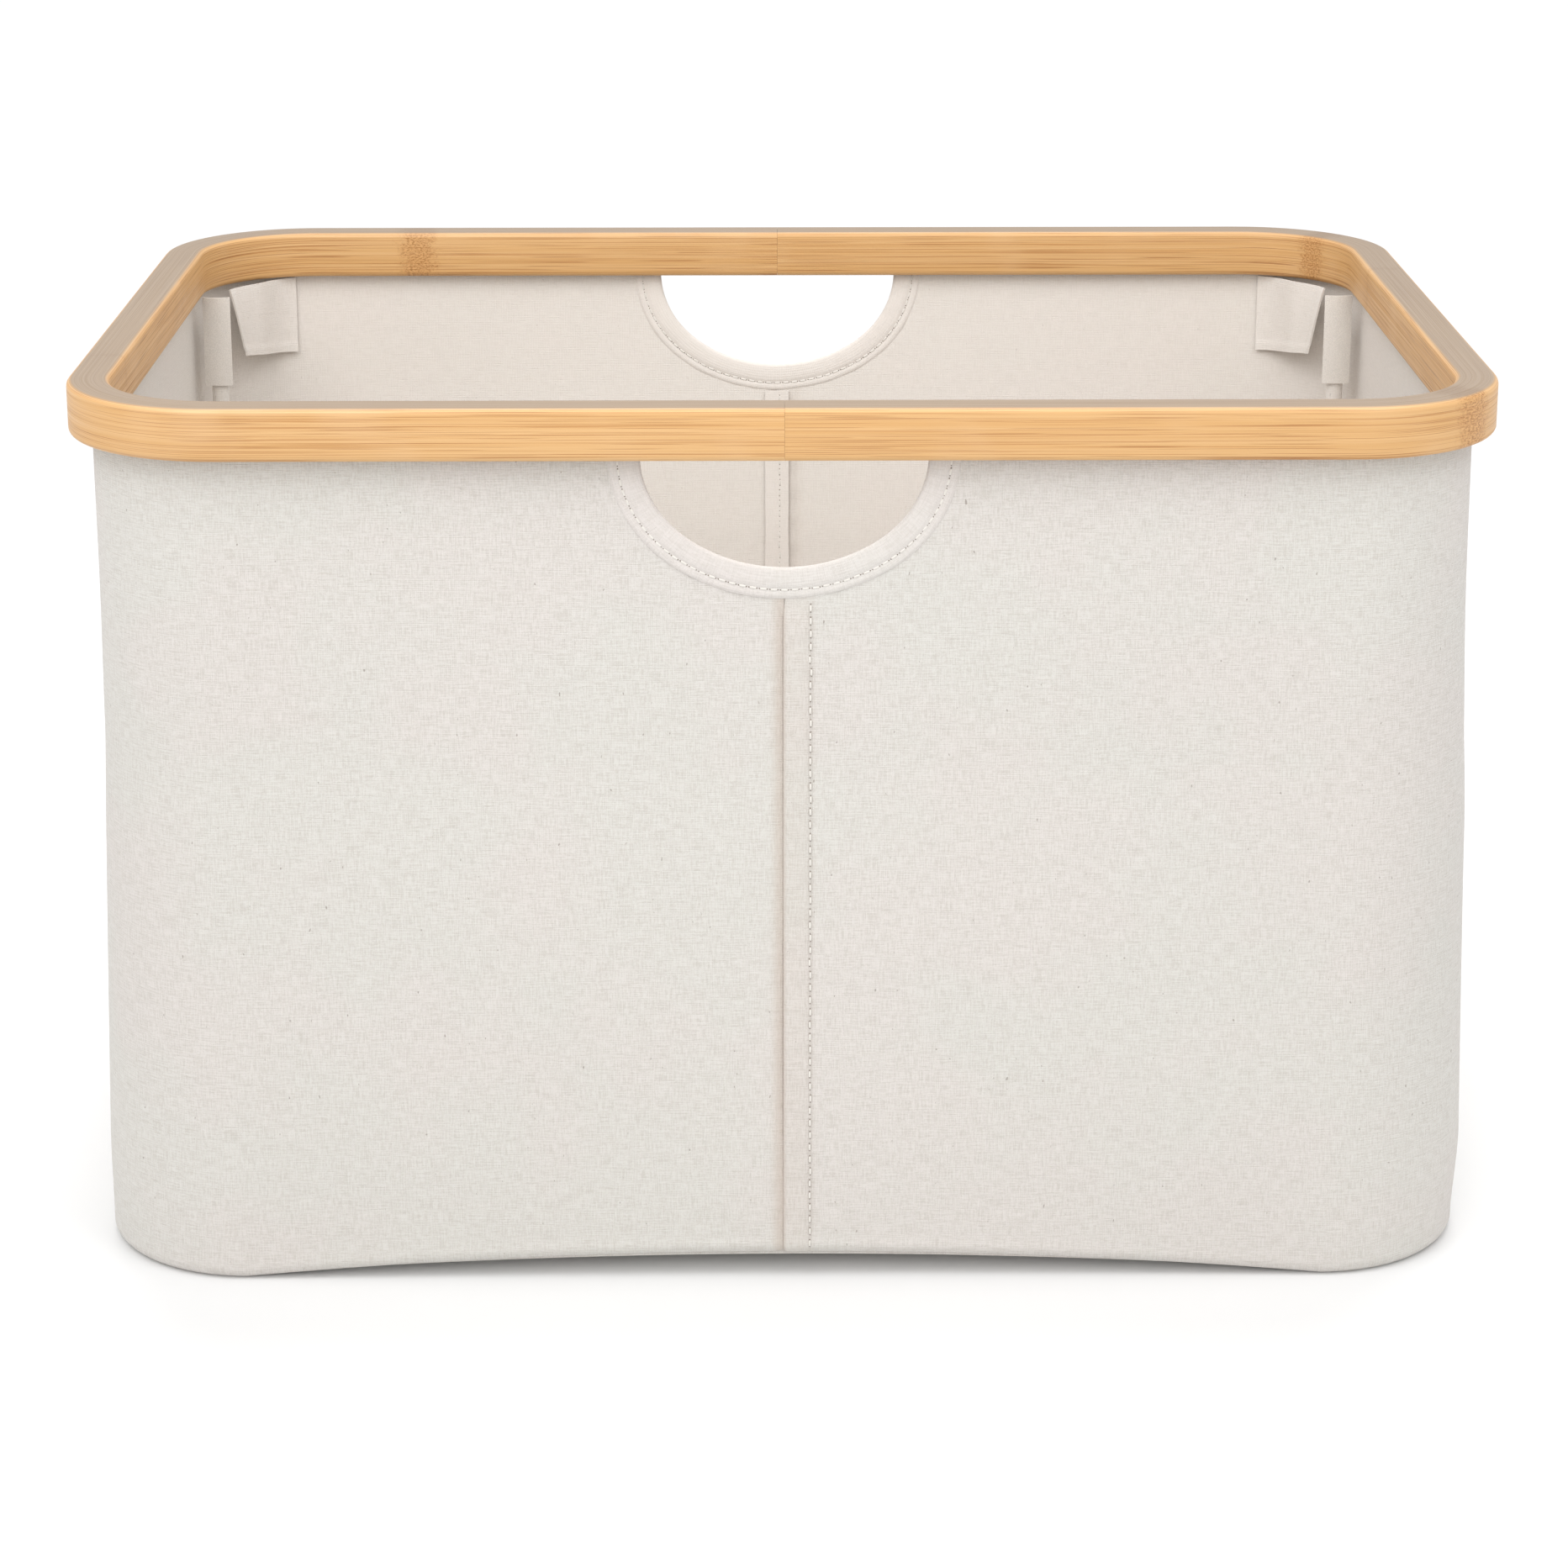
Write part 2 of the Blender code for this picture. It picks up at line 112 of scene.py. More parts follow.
def smoothStep(value, low, high):
    share = min(1.0, max(0.0, (value - low) / (high - low)))
    return share * share * (3 - 2 * share)


def between(start, end, count):
    return [start + (end - start) * i / count for i in range(count + 1)]


def wallInset(z):
    return bag["hemInset"] - bag["baseFlare"] * max(0.0, 1 - z / bag["flareHeight"])


def pathLength():
    # from the front seam round one corner, along the side and round to the rear seam
    arc = (bag["cornerRadius"] - bag["hemInset"]) * pi / 2
    return 2 * arcX + 2 * arc + 2 * arcY


def pathPoint(along, inset):
    # a point on the rounded outline at that inset, with its outward direction, on the right half
    arc = (bag["cornerRadius"] - bag["hemInset"]) * pi / 2
    radius = bag["cornerRadius"] - inset
    rear = along > pathLength() / 2
    if rear:
        along = pathLength() - along
    if along < arcX:
        x, y, nx, ny = along, -arcY - radius, 0.0, -1.0
    elif along < arcX + arc:
        turn = (along - arcX) / arc * pi / 2
        nx, ny = sin(turn), -cos(turn)
        x, y = arcX + radius * nx, -arcY + radius * ny
    else:
        x, y, nx, ny = arcX + radius, -arcY + along - arcX - arc, 1.0, 0.0
    return (x, -y, nx, -ny) if rear else (x, y, nx, ny)


def bottomRise(x, y):
    baseInset = bag["hemInset"] - bag["baseFlare"]

    def fade(distance):
        return max(0.0, 1 - max(distance, 0.0) / bag["riseFade"]) ** 2

    front = bag["frontRise"] * max(0.0, 1 - (x / arcX) ** 2)
    side = bag["sideRise"] * max(0.0, 1 - (y / arcY) ** 2)
    front *= fade(bag["halfDepth"] - baseInset - abs(y))
    side *= fade(bag["halfLength"] - baseInset - abs(x))
    return front + side


def clothSheet(name, columns, rows, place, size, thickness, closed=False, flatPlace=None):
    # a flat grid, moved point by point to where the cloth lies; its UV map is in metres
    deselectAll()
    bpy.ops.mesh.primitive_grid_add(x_subdivisions=columns, y_subdivisions=rows, size=1)
    sheet = bpy.context.object
    sheet.name = sheet.data.name = name
    uvs = sheet.data.uv_layers.active.data
    shares = [(v.co.x + 0.5, v.co.y + 0.5) for v in sheet.data.vertices]
    for loop in sheet.data.loops:
        across, up = shares[loop.vertex_index]
        flat = flatPlace(across, up) if flatPlace else (across * size[0], up * size[1])
        uvs[loop.index].uv = flat
    for vertex, (across, up) in zip(sheet.data.vertices, shares):
        vertex.co = place(across, up)
    makeActive(sheet)
    bpy.ops.object.mode_set(mode="EDIT")
    bpy.ops.mesh.select_all(action="SELECT")
    if closed:
        bpy.ops.mesh.remove_doubles(threshold=0.00005)
    bpy.ops.mesh.normals_make_consistent(inside=False)
    bpy.ops.object.mode_set(mode="OBJECT")
    solid = sheet.modifiers.new("thickness", "SOLIDIFY")
    solid.thickness = thickness
    solid.offset = 0.0
    applyModifiers(sheet)
    makeActive(sheet)
    bpy.ops.object.mode_set(mode="EDIT")
    bpy.ops.mesh.select_all(action="SELECT")
    bpy.ops.mesh.normals_make_consistent(inside=False)
    bpy.ops.object.mode_set(mode="OBJECT")
    return sheet


def newGroup(name, inputs, outputs):
    group = bpy.data.node_groups.new(name, "ShaderNodeTree")
    for socketName, socketType, value in inputs:
        socket = group.interface.new_socket(socketName, in_out="INPUT", socket_type=socketType)
        if value is not None:
            socket.default_value = value
    for socketName, socketType in outputs:
        group.interface.new_socket(socketName, in_out="OUTPUT", socket_type=socketType)
    return group, group.nodes.new("NodeGroupInput"), group.nodes.new("NodeGroupOutput")


def mathNode(tree, operation, first, second=None):
    node = tree.nodes.new("ShaderNodeMath")
    node.operation = operation
    for slotIndex, value in enumerate((first, second)):
        if value is None:
            continue
        if isinstance(value, (int, float)):
            node.inputs[slotIndex].default_value = value
        else:
            tree.links.new(value, node.inputs[slotIndex])
    return node.outputs[0]


def mixColors(tree, factor, first, second):
    node = tree.nodes.new("ShaderNodeMix")
    node.data_type = "RGBA"
    node.clamp_factor = True
    for socket, value in ((node.inputs[0], factor), (node.inputs[6], first), (node.inputs[7], second)):
        if isinstance(value, (int, float)):
            socket.default_value = value
        elif isinstance(value, tuple):
            socket.default_value = (*value, 1.0)
        else:
            tree.links.new(value, socket)
    return node.outputs[2]


def stretchedNoise(tree, vector, stretch, scale, detail=2.0, roughness=0.5):
    mapping = tree.nodes.new("ShaderNodeMapping")
    mapping.inputs["Scale"].default_value = stretch
    tree.links.new(vector, mapping.inputs["Vector"])
    made = tree.nodes.new("ShaderNodeTexNoise")
    made.inputs["Scale"].default_value = scale
    made.inputs["Detail"].default_value = detail
    made.inputs["Roughness"].default_value = roughness
    tree.links.new(mapping.outputs[0], made.inputs["Vector"])
    return made.outputs[0]


def spread(tree, value, low, high, newLow=0.0, newHigh=1.0):
    node = tree.nodes.new("ShaderNodeMapRange")
    node.interpolation_type = "SMOOTHSTEP"
    tree.links.new(value, node.inputs["Value"])
    for socketName, number in (
        ("From Min", low), ("From Max", high), ("To Min", newLow), ("To Max", newHigh),
    ):
        node.inputs[socketName].default_value = number
    return node.outputs[0]


def weaveGroup():
    # plain weave of slubby yarn: crossing threads, thick places along single threads, a few dark flecks
    group, given, result = newGroup(
        "slubbyWeave",
        [("Vector", "NodeSocketVector", None), ("Threads", "NodeSocketFloat", 1300.0)],
        [("Tone", "NodeSocketFloat"), ("Fleck", "NodeSocketFloat"), ("Height", "NodeSocketFloat")],
    )
    vector = given.outputs["Vector"]
    split = group.nodes.new("ShaderNodeSeparateXYZ")
    group.links.new(vector, split.inputs[0])
    waves = []
    for axis, other in ((0, 1), (1, 0)):
        turns = mathNode(group, "MULTIPLY", split.outputs[axis], given.outputs["Threads"])
        across = mathNode(group, "MULTIPLY", split.outputs[other], given.outputs["Threads"])
        stepped = mathNode(group, "SINE", mathNode(group, "MULTIPLY", turns, pi))
        rounded = mathNode(group, "ABSOLUTE", stepped)
        over = mathNode(group, "SINE", mathNode(group, "MULTIPLY", across, pi))
        lift = mathNode(group, "MULTIPLY", over, stepped)
        waves.append((rounded, lift))
    warp = mathNode(group, "MULTIPLY", waves[0][0], mathNode(group, "ADD", waves[0][1], 1.0))
    weft = mathNode(group, "MULTIPLY", waves[1][0], mathNode(group, "SUBTRACT", 1.0, waves[1][1]))
    weave = mathNode(group, "MULTIPLY", mathNode(group, "MAXIMUM", warp, weft), 0.5)
    upright = stretchedNoise(group, vector, (1.0, 0.07, 1.0), 2700.0, 1.0, 0.5)
    level = stretchedNoise(group, vector, (0.06, 1.0, 1.0), 2500.0, 1.0, 0.5)
    fine = stretchedNoise(group, vector, (0.8, 1.0, 1.0), 1500.0, 1.0, 0.5)
    thickLevel = stretchedNoise(group, vector, (0.16, 1.0, 1.0), 1500.0, 1.0, 0.4)
    thickUpright = stretchedNoise(group, vector, (1.0, 0.12, 1.0), 1600.0, 1.0, 0.4)
    thick = mathNode(
        group, "MAXIMUM",
        spread(group, thickLevel, 0.54, 0.76), spread(group, thickUpright, 0.56, 0.76),
    )

    def weighted(first, firstShare, second, secondShare):
        return mathNode(
            group, "ADD",
            mathNode(group, "MULTIPLY", first, firstShare),
            mathNode(group, "MULTIPLY", second, secondShare),
        )

    slubs = weighted(weighted(upright, 0.5, level, 0.5), 0.75, fine, 0.25)
    slubs = mathNode(group, "ADD", slubs, mathNode(group, "MULTIPLY", thick, 0.06))
    fleckNoise = stretchedNoise(group, vector, (1.0, 0.55, 1.0), 640.0, 1.0, 0.5)
    group.links.new(spread(group, slubs, 0.40, 0.66), result.inputs["Tone"])
    group.links.new(spread(group, fleckNoise, 0.755, 0.80), result.inputs["Fleck"])
    height = mathNode(group, "ADD", mathNode(group, "MULTIPLY", weave, 0.35), slubs)
    group.links.new(height, result.inputs["Height"])
    return group


slubbyWeave = weaveGroup()


def clothMaterial(name, look):
    made = bpy.data.materials.new(name)
    made.use_nodes = True
    tree = made.node_tree
    shader = tree.nodes["Principled BSDF"]
    uv = tree.nodes.new("ShaderNodeUVMap")
    weave = tree.nodes.new("ShaderNodeGroup")
    weave.node_tree = slubbyWeave
    weave.inputs["Threads"].default_value = look["threads"]
    tree.links.new(uv.outputs[0], weave.inputs["Vector"])
    place = tree.nodes.new("ShaderNodeTexCoord")
    cloud = stretchedNoise(tree, place.outputs["Object"], (1.0, 1.0, 1.0), 14.0, 3.0, 0.55)
    warm = spread(tree, cloud, 0.4, 0.62)
    colour = mixColors(tree, warm, look["colour"], look["warmColour"])
    for output, share, tint in (
        ("Tone", look["contrast"], look["threadColour"]),
        ("Fleck", look["flecks"], look["fleckColour"]),
    ):
        strength = mathNode(tree, "MULTIPLY", weave.outputs[output], share)
        colour = mixColors(tree, strength, colour, tint)
    # these tints paint light and shade: a paler, warmer inside as painted light, and painted shade by the
    # seam
    for attribute, tint, strength in look["tints"]:
        marked = tree.nodes.new("ShaderNodeAttribute")
        marked.attribute_name = attribute
        colour = mixColors(tree, mathNode(tree, "MULTIPLY", marked.outputs["Fac"], strength), colour, tint)
    tree.links.new(colour, shader.inputs["Base Color"])
    rough = spread(tree, weave.outputs["Tone"], 0.0, 1.0, 0.84, 0.97)
    tree.links.new(rough, shader.inputs["Roughness"])
    bump = tree.nodes.new("ShaderNodeBump")
    bump.inputs["Strength"].default_value = look["bump"]
    bump.inputs["Distance"].default_value = 0.0004
    tree.links.new(weave.outputs["Height"], bump.inputs["Height"])
    tree.links.new(bump.outputs[0], shader.inputs["Normal"])
    shader.inputs["Sheen Weight"].default_value = 0.15
    shader.inputs["Sheen Roughness"].default_value = 0.6
    shader.inputs["Specular IOR Level"].default_value = 0.2
    return made


canvasLook = {
    "colour": (0.655, 0.638, 0.600),
    "warmColour": (0.668, 0.632, 0.600),
    "threadColour": (0.490, 0.455, 0.410),
    "fleckColour": (0.22, 0.18, 0.15),
    "contrast": 0.62,
    "flecks": 0.6,
    "threads": 1450.0,
    "bump": 0.6,
    "tints": (
        ("inside", (0.86, 0.80, 0.745), 0.55),  # painted light: the inside faces are made paler and warmer, as bounce light in place of the shade inside the bin
        ("seam", (0.50, 0.39, 0.31), 0.38),     # painted shade in the seam's fold, and a faint darkening over the doubled cloth
    ),
}
bindingLook = dict(
    canvasLook,
    colour=(0.675, 0.645, 0.610),
    warmColour=(0.68, 0.635, 0.605),
    contrast=0.35,
    flecks=0.12,
    bump=0.5,
    threads=1700.0,
)
canvas = clothMaterial("cottonCanvas", canvasLook)
bindingCloth = clothMaterial("cottonBinding", bindingLook)


def plainMaterial(name, colour, roughness, grainScale, grainBump, sheen=0.0):
    made = bpy.data.materials.new(name)
    made.use_nodes = True
    tree = made.node_tree
    shader = tree.nodes["Principled BSDF"]
    place = tree.nodes.new("ShaderNodeTexCoord")
    grain = stretchedNoise(tree, place.outputs["Object"], (1.0, 1.0, 1.0), grainScale, 3.0, 0.6)
    darker = tuple(c * 0.88 for c in colour)
    mixed = mixColors(tree, spread(tree, grain, 0.35, 0.65), darker, colour)
    rough = spread(tree, grain, 0.3, 0.7, roughness - 0.06, roughness + 0.06)
    tree.links.new(mixed, shader.inputs["Base Color"])
    tree.links.new(rough, shader.inputs["Roughness"])
    bump = tree.nodes.new("ShaderNodeBump")
    bump.inputs["Strength"].default_value = grainBump
    bump.inputs["Distance"].default_value = 0.0003
    tree.links.new(grain, bump.inputs["Height"])
    tree.links.new(bump.outputs[0], shader.inputs["Normal"])
    shader.inputs["Sheen Weight"].default_value = sheen
    return made


hookTape = plainMaterial("hookAndLoopTape", (0.82, 0.775, 0.72), 0.85, 2600.0, 0.9, 0.2)
rodGlass = plainMaterial("fibreglassRod", (0.74, 0.73, 0.70), 0.38, 900.0, 0.08)
capPlastic = plainMaterial("capPlastic", (0.72, 0.72, 0.71), 0.45, 1600.0, 0.12)
retainerPlastic = plainMaterial("retainerPlastic", (0.78, 0.77, 0.74), 0.5, 1200.0, 0.1)


rim = {
    "jointGap": 0.00003,
    "edgeRadius": 0.0022,
    "edgeSteps": 5,
    "cornerSteps": 20,
    "grooveOuter": 0.0077,
    "grooveInner": 0.0118,
    "grooveDepth": 0.008,
    "leftOffset": 2.0,  # shifts the left half's grain, as it is bent from another strip
}
rimHeight = bag["height"] - bag["rimUnder"]
barArc = (bag["cornerRadius"] - bag["rimWidth"] / 2) * pi / 2
growthNodes = (
    # distance along the half from the front joint (the left half's from leftOffset), strength, width
    (0.2360, 1.00, 0.0085),
    (0.5455, 1.00, 0.0070),
    (0.4655, 0.40, 0.0020),
    (2.6265, 0.95, 0.0078),
    (2.3025, 0.45, 0.0016),
)


def bambooMaterial():
    made = bpy.data.materials.new("bamboo")
    made.use_nodes = True
    tree = made.node_tree
    shader = tree.nodes["Principled BSDF"]
    uv = tree.nodes.new("ShaderNodeUVMap").outputs[0]
    split = tree.nodes.new("ShaderNodeSeparateXYZ")
    tree.links.new(uv, split.inputs[0])
    along, around = split.outputs[0], split.outputs[1]

    broad = stretchedNoise(tree, uv, (0.004, 1.0, 1.0), 420.0, 2.0, 0.5)
    fibre = stretchedNoise(tree, uv, (0.0035, 1.0, 1.0), 1700.0, 2.0, 0.55)
    streak = stretchedNoise(tree, uv, (0.0035, 1.0, 1.0), 2300.0, 1.0, 0.35)
    pore = stretchedNoise(tree, uv, (0.007, 1.0, 1.0), 2900.0, 0.0, 0.5)
    cloud = stretchedNoise(tree, uv, (1.0, 1.0, 1.0), 26.0, 2.0, 0.5)
    speck = stretchedNoise(tree, uv, (0.6, 1.0, 1.0), 1500.0, 3.0, 0.75)

    colour = mixColors(tree, spread(tree, broad, 0.35, 0.65), (0.655, 0.380, 0.150), (0.695, 0.425, 0.188))
    colour = mixColors(tree, spread(tree, fibre, 0.38, 0.68, 0.0, 0.36), colour, (0.560, 0.285, 0.095))
    colour = mixColors(tree, spread(tree, streak, 0.56, 0.64, 0.0, 0.62), colour, (0.440, 0.195, 0.054))
    colour = mixColors(tree, spread(tree, pore, 0.62, 0.70, 0.0, 0.65), colour, (0.360, 0.150, 0.042))
    colour = mixColors(tree, spread(tree, cloud, 0.5, 0.75, 0.0, 0.35), colour, (0.72, 0.46, 0.24))

    # growth nodes: a darker band across the bar, broken by pale and brown flecks
    crooked = stretchedNoise(tree, uv, (0.5, 1.0, 1.0), 330.0, 3.0, 0.7)
    wander = mathNode(tree, "MULTIPLY", mathNode(tree, "SUBTRACT", crooked, 0.5), 0.016)
    bentAlong = mathNode(tree, "ADD", along, wander)
    band = None
    for place, strength, width in growthNodes:
        away = mathNode(tree, "ABSOLUTE", mathNode(tree, "SUBTRACT", bentAlong, place))
        one = spread(tree, away, width * 0.45, width * 1.25, strength, 0.0)
        band = one if band is None else mathNode(tree, "MAXIMUM", band, one)
    flecked = spread(tree, speck, 0.38, 0.62)
    banded = mixColors(tree, flecked, (0.33, 0.135, 0.030), (0.66, 0.35, 0.13))
    bandShare = mathNode(tree, "MULTIPLY", band, spread(tree, speck, 0.30, 0.60, 0.95, 0.45))
    colour = mixColors(tree, bandShare, colour, banded)

    # the top is planed across the layers and shows their edges; it is painted darker and greyer than the
    # sides, as painted shade for the dimmer light on the top and a painted grazing reflection
    halfWidth = bag["rimWidth"] / 2
    fromTop = mathNode(tree, "ABSOLUTE", mathNode(tree, "SUBTRACT", around, rimHeight + halfWidth))
    top = spread(tree, fromTop, halfWidth - rim["edgeRadius"], halfWidth + 0.0002, 1.0, 0.0)
    layered = spread(tree, fibre, 0.35, 0.7)
    shadedTopColour = mixColors(tree, layered, (0.270, 0.212, 0.160), (0.235, 0.182, 0.134))
    shadedTopColour = mixColors(tree, mathNode(tree, "MULTIPLY", band, 0.35), shadedTopColour, (0.17, 0.11, 0.065))
    # painted shade and painted grazing reflection on the top face
    colour = mixColors(tree, mathNode(tree, "MULTIPLY", top, 0.88), colour, shadedTopColour)
    tree.links.new(colour, shader.inputs["Base Color"])

    tree.links.new(spread(tree, fibre, 0.3, 0.7, 0.40, 0.55), shader.inputs["Roughness"])
    bump = tree.nodes.new("ShaderNodeBump")
    bump.inputs["Strength"].default_value = 0.22
    bump.inputs["Distance"].default_value = 0.0003
    pressed = mathNode(tree, "MULTIPLY", spread(tree, streak, 0.575, 0.66), 0.6)
    height = mathNode(tree, "SUBTRACT", fibre, pressed)
    tree.links.new(height, bump.inputs["Height"])
    tree.links.new(bump.outputs[0], shader.inputs["Normal"])
    shader.inputs["Coat Weight"].default_value = 0.12
    shader.inputs["Coat Roughness"].default_value = 0.35
    return made


bamboo = bambooMaterial()


def barPlace(x, y):
    # how far along its half of the bar a point is, and how far in from the rim's outer face
    x = abs(x)
    if x <= arcX:
        inset = bag["halfDepth"] - abs(y)
        return (x if y < 0 else 2 * (arcX + barArc + arcY) - x), inset
    if abs(y) <= arcY:
        return arcX + barArc + arcY + y, bag["halfLength"] - x
    out = Vector((x - arcX, abs(y) - arcY))
    turn = Vector((0.0, 1.0)).angle(out) / (pi / 2)
    inset = bag["cornerRadius"] - out.length
    front = arcX + turn * barArc
    return (front if y < 0 else 2 * (arcX + barArc + arcY) - front), inset


def rimHalf(name, node, side):
    seam = side * rim["jointGap"]
    deselectAll()
    bpy.ops.mesh.primitive_plane_add(
        size=1,
        location=(seam, -bag["halfDepth"] + bag["rimWidth"] / 2, bag["rimUnder"] + rimHeight / 2),
        rotation=(0, pi / 2, 0),
    )
    bar = bpy.context.object
    bar.name = bar.data.name = name
    bar.scale = (rimHeight, bag["rimWidth"], 1)
    bpy.ops.object.transform_apply(location=True, rotation=True, scale=True)
    bpy.ops.object.mode_set(mode="EDIT")
    bpy.ops.mesh.select_all(action="SELECT")
    bpy.ops.mesh.bevel(offset=rim["edgeRadius"], segments=rim["edgeSteps"], affect="VERTICES")
    front = -bag["halfDepth"]
    cuts = (
        ((seam, front + rim["grooveOuter"], 0), (0, 1, 0)),
        ((seam, front + rim["grooveInner"], 0), (0, 1, 0)),
        ((seam, 0, bag["rimUnder"] + rim["grooveDepth"]), (0, 0, 1)),
    )
    for point, normal in cuts:
        bpy.ops.mesh.select_all(action="SELECT")
        bpy.ops.mesh.bisect(plane_co=point, plane_no=normal)
    bpy.ops.mesh.select_mode(type="FACE")
    bpy.ops.mesh.select_all(action="DESELECT")
    bpy.ops.object.mode_set(mode="OBJECT")
    for face in bar.data.polygons:
        inset = face.center.y - front
        inGroove = rim["grooveOuter"] < inset < rim["grooveInner"]
        face.select = inGroove and face.center.z < bag["rimUnder"] + rim["grooveDepth"]
    bpy.ops.object.mode_set(mode="EDIT")
    bpy.ops.mesh.delete(type="FACE")
    bpy.ops.mesh.select_all(action="SELECT")
    straight = side * arcX - seam
    bpy.ops.mesh.extrude_region_move(TRANSFORM_OT_translate={"value": (straight, 0, 0)})
    for y, onward in ((-arcY, (0, 2 * arcY, 0)), (arcY, (-straight, 0, 0))):
        bpy.ops.mesh.spin(
            steps=rim["cornerSteps"], angle=-side * pi / 2,
            center=(side * arcX, y, 0), axis=(0, 0, 1),
        )
        bpy.ops.mesh.extrude_region_move(TRANSFORM_OT_translate={"value": onward})
    bpy.ops.mesh.select_all(action="SELECT")
    bpy.ops.mesh.remove_doubles(threshold=0.00001)
    bpy.ops.mesh.normals_make_consistent(inside=False)
    bpy.ops.object.mode_set(mode="OBJECT")

    uvs = (bar.data.uv_layers.active or bar.data.uv_layers.new(name="UVMap")).data
    for face in bar.data.polygons:
        for loopIndex in face.loop_indices:
            point = bar.data.vertices[bar.data.loops[loopIndex].vertex_index].co
            along, inset = barPlace(point.x, point.y)
            below = bag["height"] - point.z
            inner = inset > bag["rimWidth"] / 2
            around = rimHeight + inset + (below if inner else -below)
            uvs[loopIndex].uv = (along + (rim["leftOffset"] if side < 0 else 0), around)
    settle(bar, bamboo, 35)
    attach(bar, "rim")
    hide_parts(node)


for side, half in ((-1, "left"), (1, "right")):
    rimHalf(f"bamboo_bar_{half}", f"rim_half_{half}", side)
print("rim done")


panel = {
    "rows": 96,
    "hem": 0.0062,       # pushed up into the rim's groove
    "roll": 0.0048,      # how round the lower edge is
    "rollRows": 7,
    "openingHalf": 0.050,
    "openingDrop": 0.040,
    "underBinding": 0.0035,
    "sag": 0.0011,
    "valley": 0.0012,    # the seam's fold line
    "foldReach": 0.0052,  # how far the left cloth takes to rise out of that fold
    "plies": 0.00055,    # the right cloth lies double beside the seam
    "turnedEdge": 0.0011,
    "topstitch": 0.0090,
    "belly": {-1: 0.0012, 1: 0.0030},  # how far each end bulges
    "clear": 0.0002,     # the lower edge above the floor
    "thickness": 0.0013,
    "flat": (0.812, 0.318),
    "leftOffset": 2.0,   # shifts the left wall's weave
}
seamGap = bag["gap"] / 2


def openingDepth(x):
    # how far below the rim the wall's edge is cut for the hand
    half = panel["openingHalf"] + panel["underBinding"]
    if x >= half:
        return -panel["hem"]
    share = max(0.0, 1 - (x / half) ** 2) ** 0.5
    drop = panel["openingDrop"] + panel["underBinding"]
    return max(-panel["hem"], drop * share)


def wallSwell(x, y, z, seed):
    # the cloth's slow unevenness, none at the rim
    loose = smoothStep(bag["rimUnder"] - z, 0.004, 0.060) * smoothStep(z, 0.004, 0.05)
    slow = noise.noise(Vector((x * 7.5, y * 7.5, z * 6.0 + seed)))
    quick = noise.noise(Vector((x * 26.0, y * 26.0, z * 15.0 + seed * 2)))
    swell = loose * panel["sag"] * (slow * 1.5 + quick * 0.35)
    return swell if swell > 0 else swell * 0.3  # it bulges more than it caves in


def seamShape(x, z, side):
    # the left cloth dips under the right one, whose folded edge stands proud as far as its topstitching
    if side < 0:
        return -panel["valley"] * max(0.0, 1 - x / panel["foldReach"]) ** 1.6
    swell = panel["plies"] * (1 - smoothStep(x, 0.0070, 0.0100))
    edge = -0.0010 * max(0.0, 1 - x / panel["turnedEdge"]) ** 2
    tuck = -0.0004 * max(0.0, 1 - abs(x - panel["topstitch"]) / 0.0016)
    pucker = 0.00018 * sin(z * 2 * pi / 0.0125) * max(0.0, 1 - abs(x - 0.006) / 0.006)
    return swell + edge + tuck + pucker


# the inside mark drives the painted light that makes inside faces paler and warmer than the outside
def markInside(cloth, isInside):
    inside = cloth.data.attributes.new("inside", "FLOAT", "FACE")
    for face in cloth.data.polygons:
        inside.data[face.index].value = 1.0 if isInside(face) else 0.0


def facesInward(face):
    place = face.center
    core = Vector((max(-arcX, min(arcX, place.x)), max(-arcY, min(arcY, place.y)), place.z))
    return face.normal.dot(place - core) < 0


def markWallLightAndShade(cloth):
    # which faces are inside, for the painted inside light, and how much painted shade each point gets by
    # the seam
    markInside(cloth, facesInward)
    seam = cloth.data.attributes.new("seam", "FLOAT", "POINT")
    for vertex in cloth.data.vertices:
        away = abs(vertex.co.x)
        if vertex.co.x < 0:
            # painted shade in the fold where the left cloth dips under the right one
            seamShade = 1 - smoothStep(away, 0.0015, 0.0058)
        else:
            # a faint darkening over the doubled cloth as far as the topstitching, and painted shade in the
            # turned edge's crease
            pressed = 0.30 * (1 - smoothStep(away, 0.0085, 0.0120))
            seamShade = max(pressed, 0.6 * (1 - smoothStep(away, 0.0002, 0.0008)))
        seam.data[vertex.index].value = seamShade


